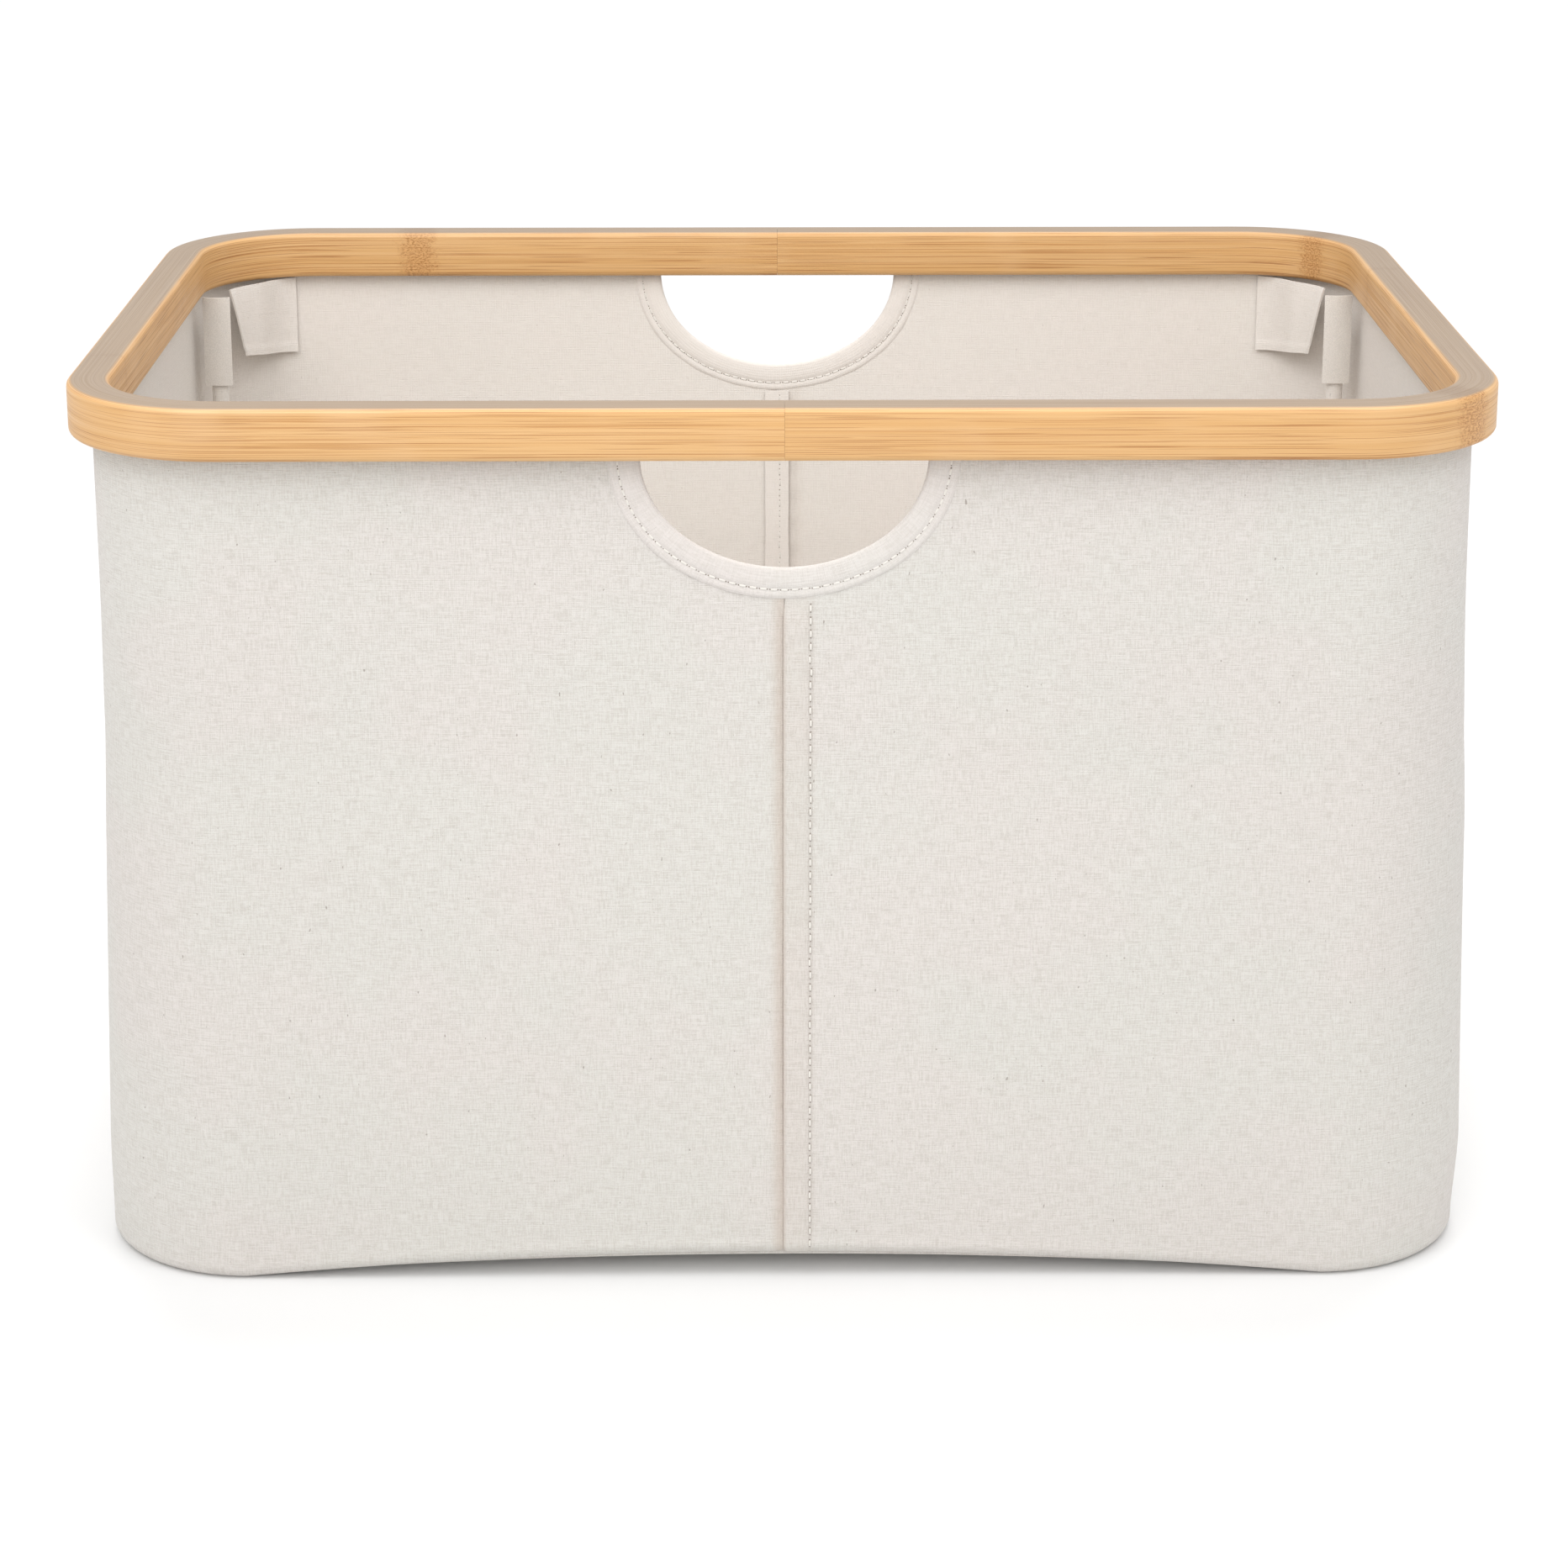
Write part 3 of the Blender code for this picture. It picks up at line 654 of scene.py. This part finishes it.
def wallPanel(name, node, side):
    full = pathLength()
    arc = (bag["cornerRadius"] - bag["hemInset"]) * pi / 2
    # columns close up beside the seams and round the hand openings
    stops = [
        (0.0, 0.012, 20), (0.012, 0.0485, 14), (0.0485, 0.0545, 12), (0.0545, arcX, 26),
        (arcX, arcX + arc, 26), (arcX + arc, full / 2, 18),
    ]
    alongs = [0.0]
    for start, end, count in stops:
        alongs += between(start, end, count)[1:]
    alongs += [full - a for a in reversed(alongs[:-1])]
    columns = len(alongs) - 1
    rows = panel["rows"]

    def flatPlace(across, up):
        # lengths along the cloth itself, so that the weave stays even round the opening
        along = alongs[round(across * columns)]
        return along + (panel["leftOffset"] if side < 0 else 0.0), place(across, up)[2]

    def place(across, up):
        along = alongs[round(across * columns)]
        row = round(up * rows)
        nearSeam = min(along, full - along)
        x, y, nx, ny = pathPoint(along, bag["hemInset"])
        top = bag["rimUnder"] - openingDepth(nearSeam)
        rise = bottomRise(*pathPoint(along, bag["hemInset"] - bag["baseFlare"])[:2])
        if row < panel["rollRows"]:
            turn = (1 - row / panel["rollRows"]) * pi / 2
            inset = bag["hemInset"] - bag["baseFlare"] + panel["roll"] * (1 - cos(turn))
            z = rise + panel["clear"] + panel["roll"] * (1 - sin(turn))
            offset = 0.0
        else:
            low = rise + panel["clear"] + panel["roll"]
            share = (row - panel["rollRows"]) / (rows - panel["rollRows"])
            z = low + (top - low) * share
            inset = wallInset(z)
            offset = wallSwell(side * x, y, z, 3.0 if side < 0 else 8.0)
        offset += seamShape(nearSeam, z, side) * smoothStep(top - z, 0.008, 0.016)
        bulging = smoothStep(z, 0.0, 0.04) * (1 - smoothStep(z, 0.15, 0.27))
        offset += panel["belly"][side] * nx * nx * bulging
        px, py, nx, ny = pathPoint(along, inset + bag["wall"] / 2)
        px = max(px, seamGap)
        return (side * (px + nx * offset), py + ny * offset, z)

    cloth = clothSheet(name, columns, rows, place, None, panel["thickness"], flatPlace=flatPlace)
    settle(cloth, canvas, 60)
    markWallLightAndShade(cloth)
    finishCloth(cloth, "cotton_canvas", node)


def finishCloth(piece, slotName, *nodes):
    # rides on the bag, and goes down with it as the rim is pressed down
    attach(piece, "bag")
    if nodes:
        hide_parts(*nodes)
    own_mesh(piece)


for side, half in ((-1, "left"), (1, "right")):
    wallPanel(f"wall_cloth_{half}", f"body_panel_{half}", side)
print("walls done")


bottom = {
    "columns": 120,
    "rows": 84,
    "thickness": 0.0014,
    "inset": 0.0066,
    "clear": 0.0003,
    "wave": 0.0009,  # how far it ripples, fading to none at its edge
    "flat": (0.487, 0.337),
    "flatArea": 0.160,
}


def bottomPlace(across, up):
    halfX = bag["halfLength"] - bottom["inset"]
    halfY = bag["halfDepth"] - bottom["inset"]
    radius = bag["cornerRadius"] - bottom["inset"]
    x, y = (2 * across - 1) * halfX, (2 * up - 1) * halfY
    a = max(0.0, abs(x) - (halfX - radius)) / radius
    b = max(0.0, abs(y) - (halfY - radius)) / radius
    if a and b:
        x = (halfX - radius + radius * a * (1 - b * b / 2) ** 0.5) * (1 if x > 0 else -1)
        y = (halfY - radius + radius * b * (1 - a * a / 2) ** 0.5) * (1 if y > 0 else -1)
    wave = noise.noise(Vector((x * 11, y * 11, 4.0))) * 0.5 + 0.5
    fromEdge = 1 - max(abs(x) / halfX, abs(y) / halfY)
    z = bottomRise(x, y) + bottom["thickness"] / 2 + bottom["clear"]
    return (x, y, z + bottom["wave"] * wave * smoothStep(fromEdge, 0.0, 0.12))


base = clothSheet(
    "bottom_cloth", bottom["columns"], bottom["rows"], bottomPlace,
    (2 * bag["halfLength"], 2 * bag["halfDepth"]), bottom["thickness"],
)
settle(base, canvas, 60)
finishCloth(base, "cotton_canvas", "base_panel")
print("bottom done")


stitch = {
    "length": 0.0033,
    "wide": 0.000816,
    "thick": 0.000578,
    "sunk": 0.0001,
    "holeShadeFrom": 0.75,  # the outer part of each half gets painted shade, for the shade in the needle's hole
}


def stitchTemplate():
    # one stitch lying along X, its ends sunk into the cloth and given painted shade at the needle's holes
    deselectAll()
    bpy.ops.mesh.primitive_uv_sphere_add(segments=6, ring_count=6, radius=0.5, rotation=(0, pi / 2, 0))
    one = bpy.context.object
    one.name = "stitch"
    one.scale = (stitch["thick"], stitch["wide"], stitch["length"])
    bpy.ops.object.transform_apply(location=True, rotation=True, scale=True)
    holeShade = one.data.attributes.new("holeShade", "FLOAT", "POINT")
    for vertex in one.data.vertices:
        share = abs(vertex.co.x) / (stitch["length"] / 2)
        holeShade.data[vertex.index].value = 1.0 if share > stitch["holeShadeFrom"] else 0.0
        vertex.co.z -= stitch["sunk"] * share * share
    return one


def threadMaterial():
    made = bpy.data.materials.new("sewingThread")
    made.use_nodes = True
    tree = made.node_tree
    shader = tree.nodes["Principled BSDF"]
    place = tree.nodes.new("ShaderNodeTexCoord")
    twist = stretchedNoise(tree, place.outputs["Object"], (1.0, 1.0, 1.0), 4200.0, 2.0, 0.6)
    holeShade = tree.nodes.new("ShaderNodeAttribute")
    holeShade.attribute_name = "holeShade"
    thread = mixColors(tree, twist, (0.66, 0.63, 0.585), (0.80, 0.77, 0.72))
    # painted shade at the needle's holes
    shadedThread = mixColors(tree, spread(tree, holeShade.outputs["Fac"], 0.2, 0.9), thread, (0.20, 0.16, 0.13))
    tree.links.new(shadedThread, shader.inputs["Base Color"])
    shader.inputs["Roughness"].default_value = 0.75
    shader.inputs["Specular IOR Level"].default_value = 0.2
    return made


oneStitch = stitchTemplate()
threadLook = threadMaterial()


def sewRow(name, places):
    # places holds (point, along, outward) for each stitch; the copies are joined into one row
    copies = []
    for point, along, outward in places:
        copy = oneStitch.copy()
        copy.data = oneStitch.data.copy()
        bpy.context.collection.objects.link(copy)
        along, outward = Vector(along).normalized(), Vector(outward).normalized()
        side = outward.cross(along)
        turn = copy.matrix_world.to_3x3()
        turn.col[0], turn.col[1], turn.col[2] = along, side, outward
        copy.matrix_world = turn.to_4x4()
        copy.location = point
        copies.append(copy)
    deselectAll()
    for copy in copies:
        copy.select_set(True)
    bpy.context.view_layer.objects.active = copies[0]
    bpy.ops.object.join()
    row = bpy.context.object
    row.name = row.data.name = name
    settle(row, threadLook, 60)
    finishCloth(row, "cotton_binding")


handle = {
    "half": 0.050,
    "drop": 0.040,
    "fineSteps": 720,
    "width": 0.0098,
    "thickness": 0.0006,
    "flat": (0.024, 0.152),
    "columns": 110,
    "stitchSteps": 200,
    "plies": 0.00085,   # how far each side of the strip stands off the wall
    "stitchIn": 0.0068,  # the stitches run this far out from the opening's edge
    "pitch": 0.0036,
}


def openingPoint(turn):
    # a point on the opening's edge, and the way out from the opening there
    x = -handle["half"] * cos(turn)
    z = bag["rimUnder"] - handle["drop"] * sin(turn)
    out = Vector((-cos(turn) / handle["half"], -sin(turn) / handle["drop"])).normalized()
    return x, z, out


def evenTurns(count, offset=0.0):
    # turns that space points evenly along the curve at that distance from the edge
    fine, steps = [], handle["fineSteps"]
    for i in range(steps + 1):
        x, z, out = openingPoint(pi * i / steps)
        fine.append((x + out.x * offset, z + out.y * offset))
    lengths = [0.0]
    for a, b in zip(fine, fine[1:]):
        lengths.append(lengths[-1] + hypot(b[0] - a[0], b[1] - a[1]))
    turns, i = [], 0
    for k in range(count + 1):
        goal = lengths[-1] * k / count
        while i < steps - 1 and lengths[i + 1] < goal:
            i += 1
        part = (goal - lengths[i]) / (lengths[i + 1] - lengths[i])
        turns.append(pi * (i + part) / steps)
    return turns, lengths[-1]


def stripPoint(turn, outward, side, proud):
    x, z, out = openingPoint(turn)
    px, pz = x + out.x * outward, z + out.y * outward
    pz = min(pz, bag["rimUnder"] - 0.0002)
    y = bag["halfDepth"] - bag["hemInset"] - bag["wall"] / 2 + proud
    return Vector((px, side * y, pz))


def handleStrip(name, node, side):
    turns, length = evenTurns(handle["columns"], 0.004)
    width, stand = handle["width"], handle["plies"]
    seam = handle["stitchIn"]
    section = []
    # outer face from its edge inwards, round the lip, and back along the inner face
    for d in (
        width, width - 0.0004, width - 0.0013, seam + 0.0008, seam, seam - 0.0008,
        0.0052, 0.0034, 0.0016, 0.0002,
    ):
        lift = stand
        lift -= 0.00030 * max(0.0, 1 - abs(d - seam) / 0.0009)
        lift -= 0.00045 * smoothStep(d, width - 0.0006, width)
        lift += 0.00025 * smoothStep(d, 0.0, 0.003) * (1 - smoothStep(d, 0.0045, seam))
        section.append((d, lift))
    lipTurns = (pi * 0.3, pi * 0.12, 0.0, -pi * 0.12, -pi * 0.3)
    lip = [(-0.0009 * cos(t) + 0.0002, stand * sin(t)) for t in lipTurns]
    section = section + lip + [(d, -lift) for d, lift in reversed(section)]
    columns, rows = len(turns) - 1, len(section) - 1

    def place(across, up):
        turn = turns[round(across * columns)]
        d, lift = section[round(up * rows)]
        x, z, out = openingPoint(turn)
        ripple = 0.00018 * noise.noise(Vector((x * 160, z * 160, side * 3.0 + d * 90)))
        edge = 0.0003 * noise.noise(Vector((x * 70, z * 70, side * 9.0))) * (1 if d > 0.005 else 0.35)
        return stripPoint(turn, d + edge, side, lift + ripple * (1 if lift > 0 else -1))

    size = (length, handle["flat"][0])
    strip = clothSheet(name, columns, rows, place, size, handle["thickness"])
    settle(strip, bindingCloth, 60)
    middle = bag["halfDepth"] - bag["hemInset"] - bag["wall"] / 2
    markInside(strip, lambda face: face.center.y * side < middle)
    finishCloth(strip, "cotton_binding", node)

    for facing, word in ((1, "outside"), (-1, "inside")):
        steps = handle["stitchSteps"]
        turns, length = evenTurns(steps, seam)
        count = int(length / handle["pitch"])
        places = []
        for k in range(count):
            at = (k + 0.5) / count * steps
            low = int(at)
            turn = turns[low] + (turns[min(steps, low + 1)] - turns[low]) * (at - low)
            shift = 0.00022 * noise.noise(Vector((k * 1.7, side * 5.0, facing * 2.0)))
            proud = facing * (stand + 0.00012)
            point = stripPoint(turn, seam + shift, side, proud)
            ahead = stripPoint(min(pi, turn + 0.01), seam + shift, side, proud)
            behind = stripPoint(max(0, turn - 0.01), seam + shift, side, proud)
            if point.z > bag["rimUnder"] - 0.0016:
                continue
            places.append((point, ahead - behind, (0, side * facing, 0)))
        sewRow(f"{name}_stitches_{word}", places)


for side, end in ((-1, "front"), (1, "rear")):
    handleStrip(f"{end}_opening_strip", f"{end}_handle_binding", side)


seamTape = {
    "width": 0.0100,
    "thickness": 0.0006,
    "off": 0.0008,  # how far its middle stands off the wall
    "rows": 60,
    "columns": 10,
    "pitch": 0.0046,
}


def seamStrip(name, node, side):
    low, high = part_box(node)
    bottomZ, topZ = low.z, high.z

    def place(across, up):
        z = bottomZ + (topZ - bottomZ) * up
        x = (across - 0.5) * seamTape["width"] * (1 + 0.05 * noise.noise(Vector((0.0, side, z * 60))))
        x -= 0.0002
        middle = 1 - abs(2 * across - 1)
        puff = 0.00035 * middle - 0.0003 * max(0.0, 1 - abs(across - 0.6) / 0.12)
        puff += 0.0002 * noise.noise(Vector((x * 90, z * 45, side)))
        inset = wallInset(z) + bag["wall"] + seamTape["off"] + puff
        return (x, side * (bag["halfDepth"] - inset), z)

    strip = clothSheet(
        name, seamTape["columns"], seamTape["rows"], place,
        (seamTape["width"], topZ - bottomZ), seamTape["thickness"],
    )
    settle(strip, bindingCloth, 60)
    markInside(strip, lambda face: True)
    finishCloth(strip, "cotton_binding", node)

    inside, outside = [], []
    count = int((topZ - bottomZ) / seamTape["pitch"])
    for k in range(count):
        z = bottomZ + (k + 0.5) * seamTape["pitch"]
        shift = 0.0003 * noise.noise(Vector((k * 0.9, side * 4.0, 1.0)))
        slope = wallInset(z + 0.001) - wallInset(z - 0.001)
        along = (0, -side * slope, 0.002)
        inset = wallInset(z) + bag["wall"] + seamTape["off"] + seamTape["thickness"] / 2
        inside.append(((0.0010 + shift, side * (bag["halfDepth"] - inset), z), along, (0, -side, 0)))
        proud = wallInset(z) - 0.0001 - wallSwell(panel["topstitch"], side * 0.167, z, 8.0)
        point = (panel["topstitch"] + shift * 1.5, side * (bag["halfDepth"] - proud), z)
        outside.append((point, along, (0, side, 0)))
    sewRow(f"{name}_stitches", inside)
    sewRow(f"{name}_topstitches", outside)


for side, end in ((-1, "front"), (1, "rear")):
    seamStrip(f"{end}_seam_tape", f"{end}_seam_binding", side)
print("strips and stitches done")


cornerFlap = {
    "inset": 0.0169,
    "wallInset": 0.0104,  # where its sewn edge lies on the wall
    "start": radians(12),
    "length": 0.035,
    "drop": 0.033,
    "lift": 0.0052,     # the free lower corner stands off the wall
    "narrowing": 0.0034,
    "thickness": 0.0008,
    "loopWidth": 0.018,
    "tapeThickness": 0.0007,
}


def flapCloth(corner, sideX, sideY):
    low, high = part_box(f"corner_flap_{corner}")
    radius = bag["cornerRadius"] - cornerFlap["inset"]

    def flapPoint(across, up, proud=0.0):
        free = across * across
        length = cornerFlap["length"] - cornerFlap["narrowing"] * free * (1 - up)
        turn = cornerFlap["start"] + across * length / radius
        away = cornerFlap["lift"] * free * (1 - up) ** 0.8 + 0.0012 * free
        away += 0.0007 * sin(pi * across) * (0.4 + 0.6 * (1 - up))
        hem = 0.00035 * (smoothStep(across, 0.86, 0.90) + smoothStep(0.14 - up, 0.0, 0.04))
        sewn = (cornerFlap["inset"] - cornerFlap["wallInset"]) * (1 - smoothStep(across, 0.0, 0.55))
        reach = radius + sewn - away - hem - proud
        z = low.z + (high.z - low.z) * up + (0.0012 + 0.0040 * across) * (1 - up)
        return Vector((sideX * (arcX + reach * sin(turn)), sideY * (arcY + reach * cos(turn)), z))

    name = f"flap_cloth_{corner}"
    cloth = clothSheet(
        name, 40, 30, flapPoint,
        (cornerFlap["length"], cornerFlap["drop"]), cornerFlap["thickness"],
    )
    settle(cloth, canvas, 60)
    markInside(cloth, lambda face: True)
    hinge = flapPoint(0.0, 1.0)
    free = flapPoint(1.0, 1.0)
    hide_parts(f"corner_flap_{corner}")
    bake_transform(cloth)

    # the loop tape behind it
    tapeLow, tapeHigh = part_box(f"loop_tape_{corner}")
    tapeRadius = bag["cornerRadius"] - bag["rimWidth"] - 0.0007
    end = cornerFlap["start"] + cornerFlap["length"] / radius - 0.0025 / tapeRadius
    start = end - cornerFlap["loopWidth"] / tapeRadius

    def tapePlace(across, up):
        turn = start + (end - start) * across
        share = (turn - cornerFlap["start"]) * radius / cornerFlap["length"]
        z = tapeLow.z + (tapeHigh.z - tapeLow.z) * up
        return flapPoint(share, (z - low.z) / (high.z - low.z), -0.0009)

    tapeSize = (cornerFlap["loopWidth"], tapeHigh.z - tapeLow.z)
    tape = clothSheet(f"loop_patch_{corner}", 14, 20, tapePlace, tapeSize, cornerFlap["tapeThickness"])
    settle(tape, hookTape, 60)
    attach(tape, f"flap_{corner}")
    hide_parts(f"loop_tape_{corner}")


rodSleeve = {
    "radius": 0.00315,
    "uneven": 0.00022,
    "seam": 0.0003,     # how far its sewn ridge stands out
    "around": 0.0205,
    "flatWidth": 0.0215,
    "thickness": 0.0005,
    "hookFlat": (0.011, 0.036),
    "hookStart": 0.0045,  # the hook tape's lower edge, above its node's
    "hookStop": 0.0051,
}


def rodCloth(corner, sideX, sideY):
    low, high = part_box(f"rod_sleeve_{corner}")
    centre = (low + high) / 2
    bodyName = f"rod_{corner}"

    def sleevePlace(across, up):
        turn = 2 * pi * across
        z = low.z + (high.z - low.z) * up
        wobble = noise.noise(Vector((cos(turn) * 0.9, sin(turn) * 0.9, z * 42 + sideX)))
        radius = rodSleeve["radius"] + rodSleeve["uneven"] * wobble
        radius += rodSleeve["seam"] * max(0.0, cos(turn - sideX * 0.6)) ** 8
        return (centre.x + radius * cos(turn), centre.y + radius * sin(turn), z)

    sleeve = clothSheet(
        f"sleeve_cloth_{corner}", 28, 70, sleevePlace,
        (rodSleeve["around"], high.z - low.z), rodSleeve["thickness"], closed=True,
    )
    settle(sleeve, canvas, 60)
    markInside(sleeve, lambda face: True)
    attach(sleeve, bodyName)
    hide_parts(f"rod_sleeve_{corner}")

    low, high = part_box(f"hook_tape_{corner}")

    def tapePlace(across, up):
        x = low.x + (high.x - low.x) * across
        z = low.z + rodSleeve["hookStart"] + (bag["rimUnder"] - rodSleeve["hookStop"] - low.z) * up
        bow = 0.0012 * (2 * across - 1) ** 2
        y = (low.y + high.y) / 2 + sideY * bow
        return (x, y, z)

    tapeSize = (high.x - low.x, high.z - low.z)
    tape = clothSheet(f"hook_patch_{corner}", 16, 36, tapePlace, tapeSize, cornerFlap["tapeThickness"])
    settle(tape, hookTape, 60)
    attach(tape, bodyName)
    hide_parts(f"hook_tape_{corner}")


rodPocket = {
    "lean": radians(4),  # two rods fold at a slant, and pass beside the other two
    "gap": radians(70),  # open this far to each side of the way its rod folds
    "radius": 0.00482,
    "hem": 0.0003,
    "flat": (0.0187, 0.0138),
    "thickness": 0.0007,
}


def pocketCloth(corner, sideX, sideY):
    low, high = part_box(f"rod_pocket_{corner}")
    rodLow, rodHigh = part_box(f"corner_rod_{corner}")
    foot = (rodLow + rodHigh) / 2
    lean = rodPocket["lean"] if sideX == -sideY else 0.0
    way = Vector((-sideX * cos(lean), -sideY * sin(lean)))
    start = rodPocket["gap"]

    def place(across, up):
        turn = start + (2 * pi - 2 * start) * across
        out = Vector((way.x * cos(turn) - way.y * sin(turn), way.x * sin(turn) + way.y * cos(turn)))
        wobble = noise.noise(Vector((turn * 1.3, up * 2.2, sideX + 2 * sideY)))
        radius = rodPocket["radius"] + 0.0002 * wobble + rodPocket["hem"] * smoothStep(up, 0.86, 0.93)
        z = low.z + (high.z - low.z) * up
        return (foot.x + out.x * radius, foot.y + out.y * radius, z)

    size = (rodPocket["flat"][0], high.z - low.z)
    pocket = clothSheet(f"pocket_cloth_{corner}", 30, 16, place, size, rodPocket["thickness"])
    settle(pocket, canvas, 60)
    markInside(pocket, lambda face: True)
    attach(pocket, "bag")
    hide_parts(f"rod_pocket_{corner}")


def paint(node, material):
    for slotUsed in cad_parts[node].material_slots:
        slotUsed.material = material


for corner, (sideX, sideY) in corners.items():
    flapCloth(corner, sideX, sideY)
    rodCloth(corner, sideX, sideY)
    pocketCloth(corner, sideX, sideY)
    paint(f"corner_rod_{corner}", rodGlass)
    paint(f"rod_foot_cap_{corner}", capPlastic)
    paint(f"rod_top_cap_{corner}", capPlastic)
for half in ("left", "right"):
    paint(f"hem_retainer_{half}", retainerPlastic)
bpy.data.objects.remove(oneStitch)
print("corners done")


studio = {
    "floorColour": (0.83, 0.83, 0.83),
    "skyStrength": 0.76,
    "suns": (
        # name, strength, height, turn from the front, softness
        ("frontSun", 0.72, 35, -10, 40),
        ("rearSun", 1.15, 73, 172, 22),
    ),
    # two softboxes over the front rail light the inside
    "insidePower": {"insideLeft": 0.78, "insideRight": 0.60},
    "insideSize": 0.6,
    "insideSpread": 75,
    "insidePlace": (0.38, -0.42, 1.0),
    "insideAim": (0.0, 0.05, 0.22),
}


def floor():
    deselectAll()
    bpy.ops.mesh.primitive_plane_add(size=40, location=(0, 8, -0.0002))
    ground = bpy.context.object
    ground.name = "floor"
    made = bpy.data.materials.new("paleFloor")
    made.use_nodes = True
    shader = made.node_tree.nodes["Principled BSDF"]
    shader.inputs["Base Color"].default_value = (*studio["floorColour"], 1)
    shader.inputs["Roughness"].default_value = 0.9
    shader.inputs["Specular IOR Level"].default_value = 0.1
    ground.data.materials.append(made)


def lights():
    for name, strength, height, turn, softness in studio["suns"]:
        height, turn = radians(height), radians(turn)
        toward = Vector((sin(turn) * cos(height), -cos(turn) * cos(height), sin(height)))
        bpy.ops.object.light_add(type="SUN", location=3 * toward)
        sun = bpy.context.object
        sun.name = name
        sun.data.energy = strength
        sun.data.angle = radians(softness)
        sun.rotation_euler = (-toward).to_track_quat("-Z", "Y").to_euler()
    for side, name in ((-1, "insideLeft"), (1, "insideRight")):
        x, y, z = studio["insidePlace"]
        bpy.ops.object.light_add(type="AREA", location=(side * x, y, z))
        box = bpy.context.object
        box.name = name
        box.data.energy = studio["insidePower"][name]
        box.data.size = studio["insideSize"]
        box.data.spread = radians(studio["insideSpread"])
        toward = Vector(studio["insideAim"]) - box.location
        box.rotation_euler = toward.to_track_quat("-Z", "Y").to_euler()


floor()
lights()

world = bpy.data.worlds.new("studio")
world.use_nodes = True
sky = world.node_tree
path = sky.nodes.new("ShaderNodeLightPath")
strength = mathNode(sky, "MAXIMUM", path.outputs["Is Camera Ray"], studio["skyStrength"])
sky.nodes["Background"].inputs[0].default_value = (1, 1, 1, 1)
sky.links.new(strength, sky.nodes["Background"].inputs[1])
bpy.context.scene.world = world
bpy.context.scene.view_settings.view_transform = "Standard"

view = {
    "place": (-0.0118, -1.4482, 0.6067),
    "down": 15.916,
    "turn": -0.520,
    "lens": 89.05,
    "shift": -0.10,
}
bpy.ops.object.camera_add(
    location=view["place"],
    rotation=(radians(90 - view["down"]), 0, radians(view["turn"])),
)
camera = bpy.context.object
camera.data.lens = view["lens"]
camera.data.sensor_width = 36
camera.data.shift_y = view["shift"]
camera.data.clip_end = 100
bpy.context.scene.camera = camera
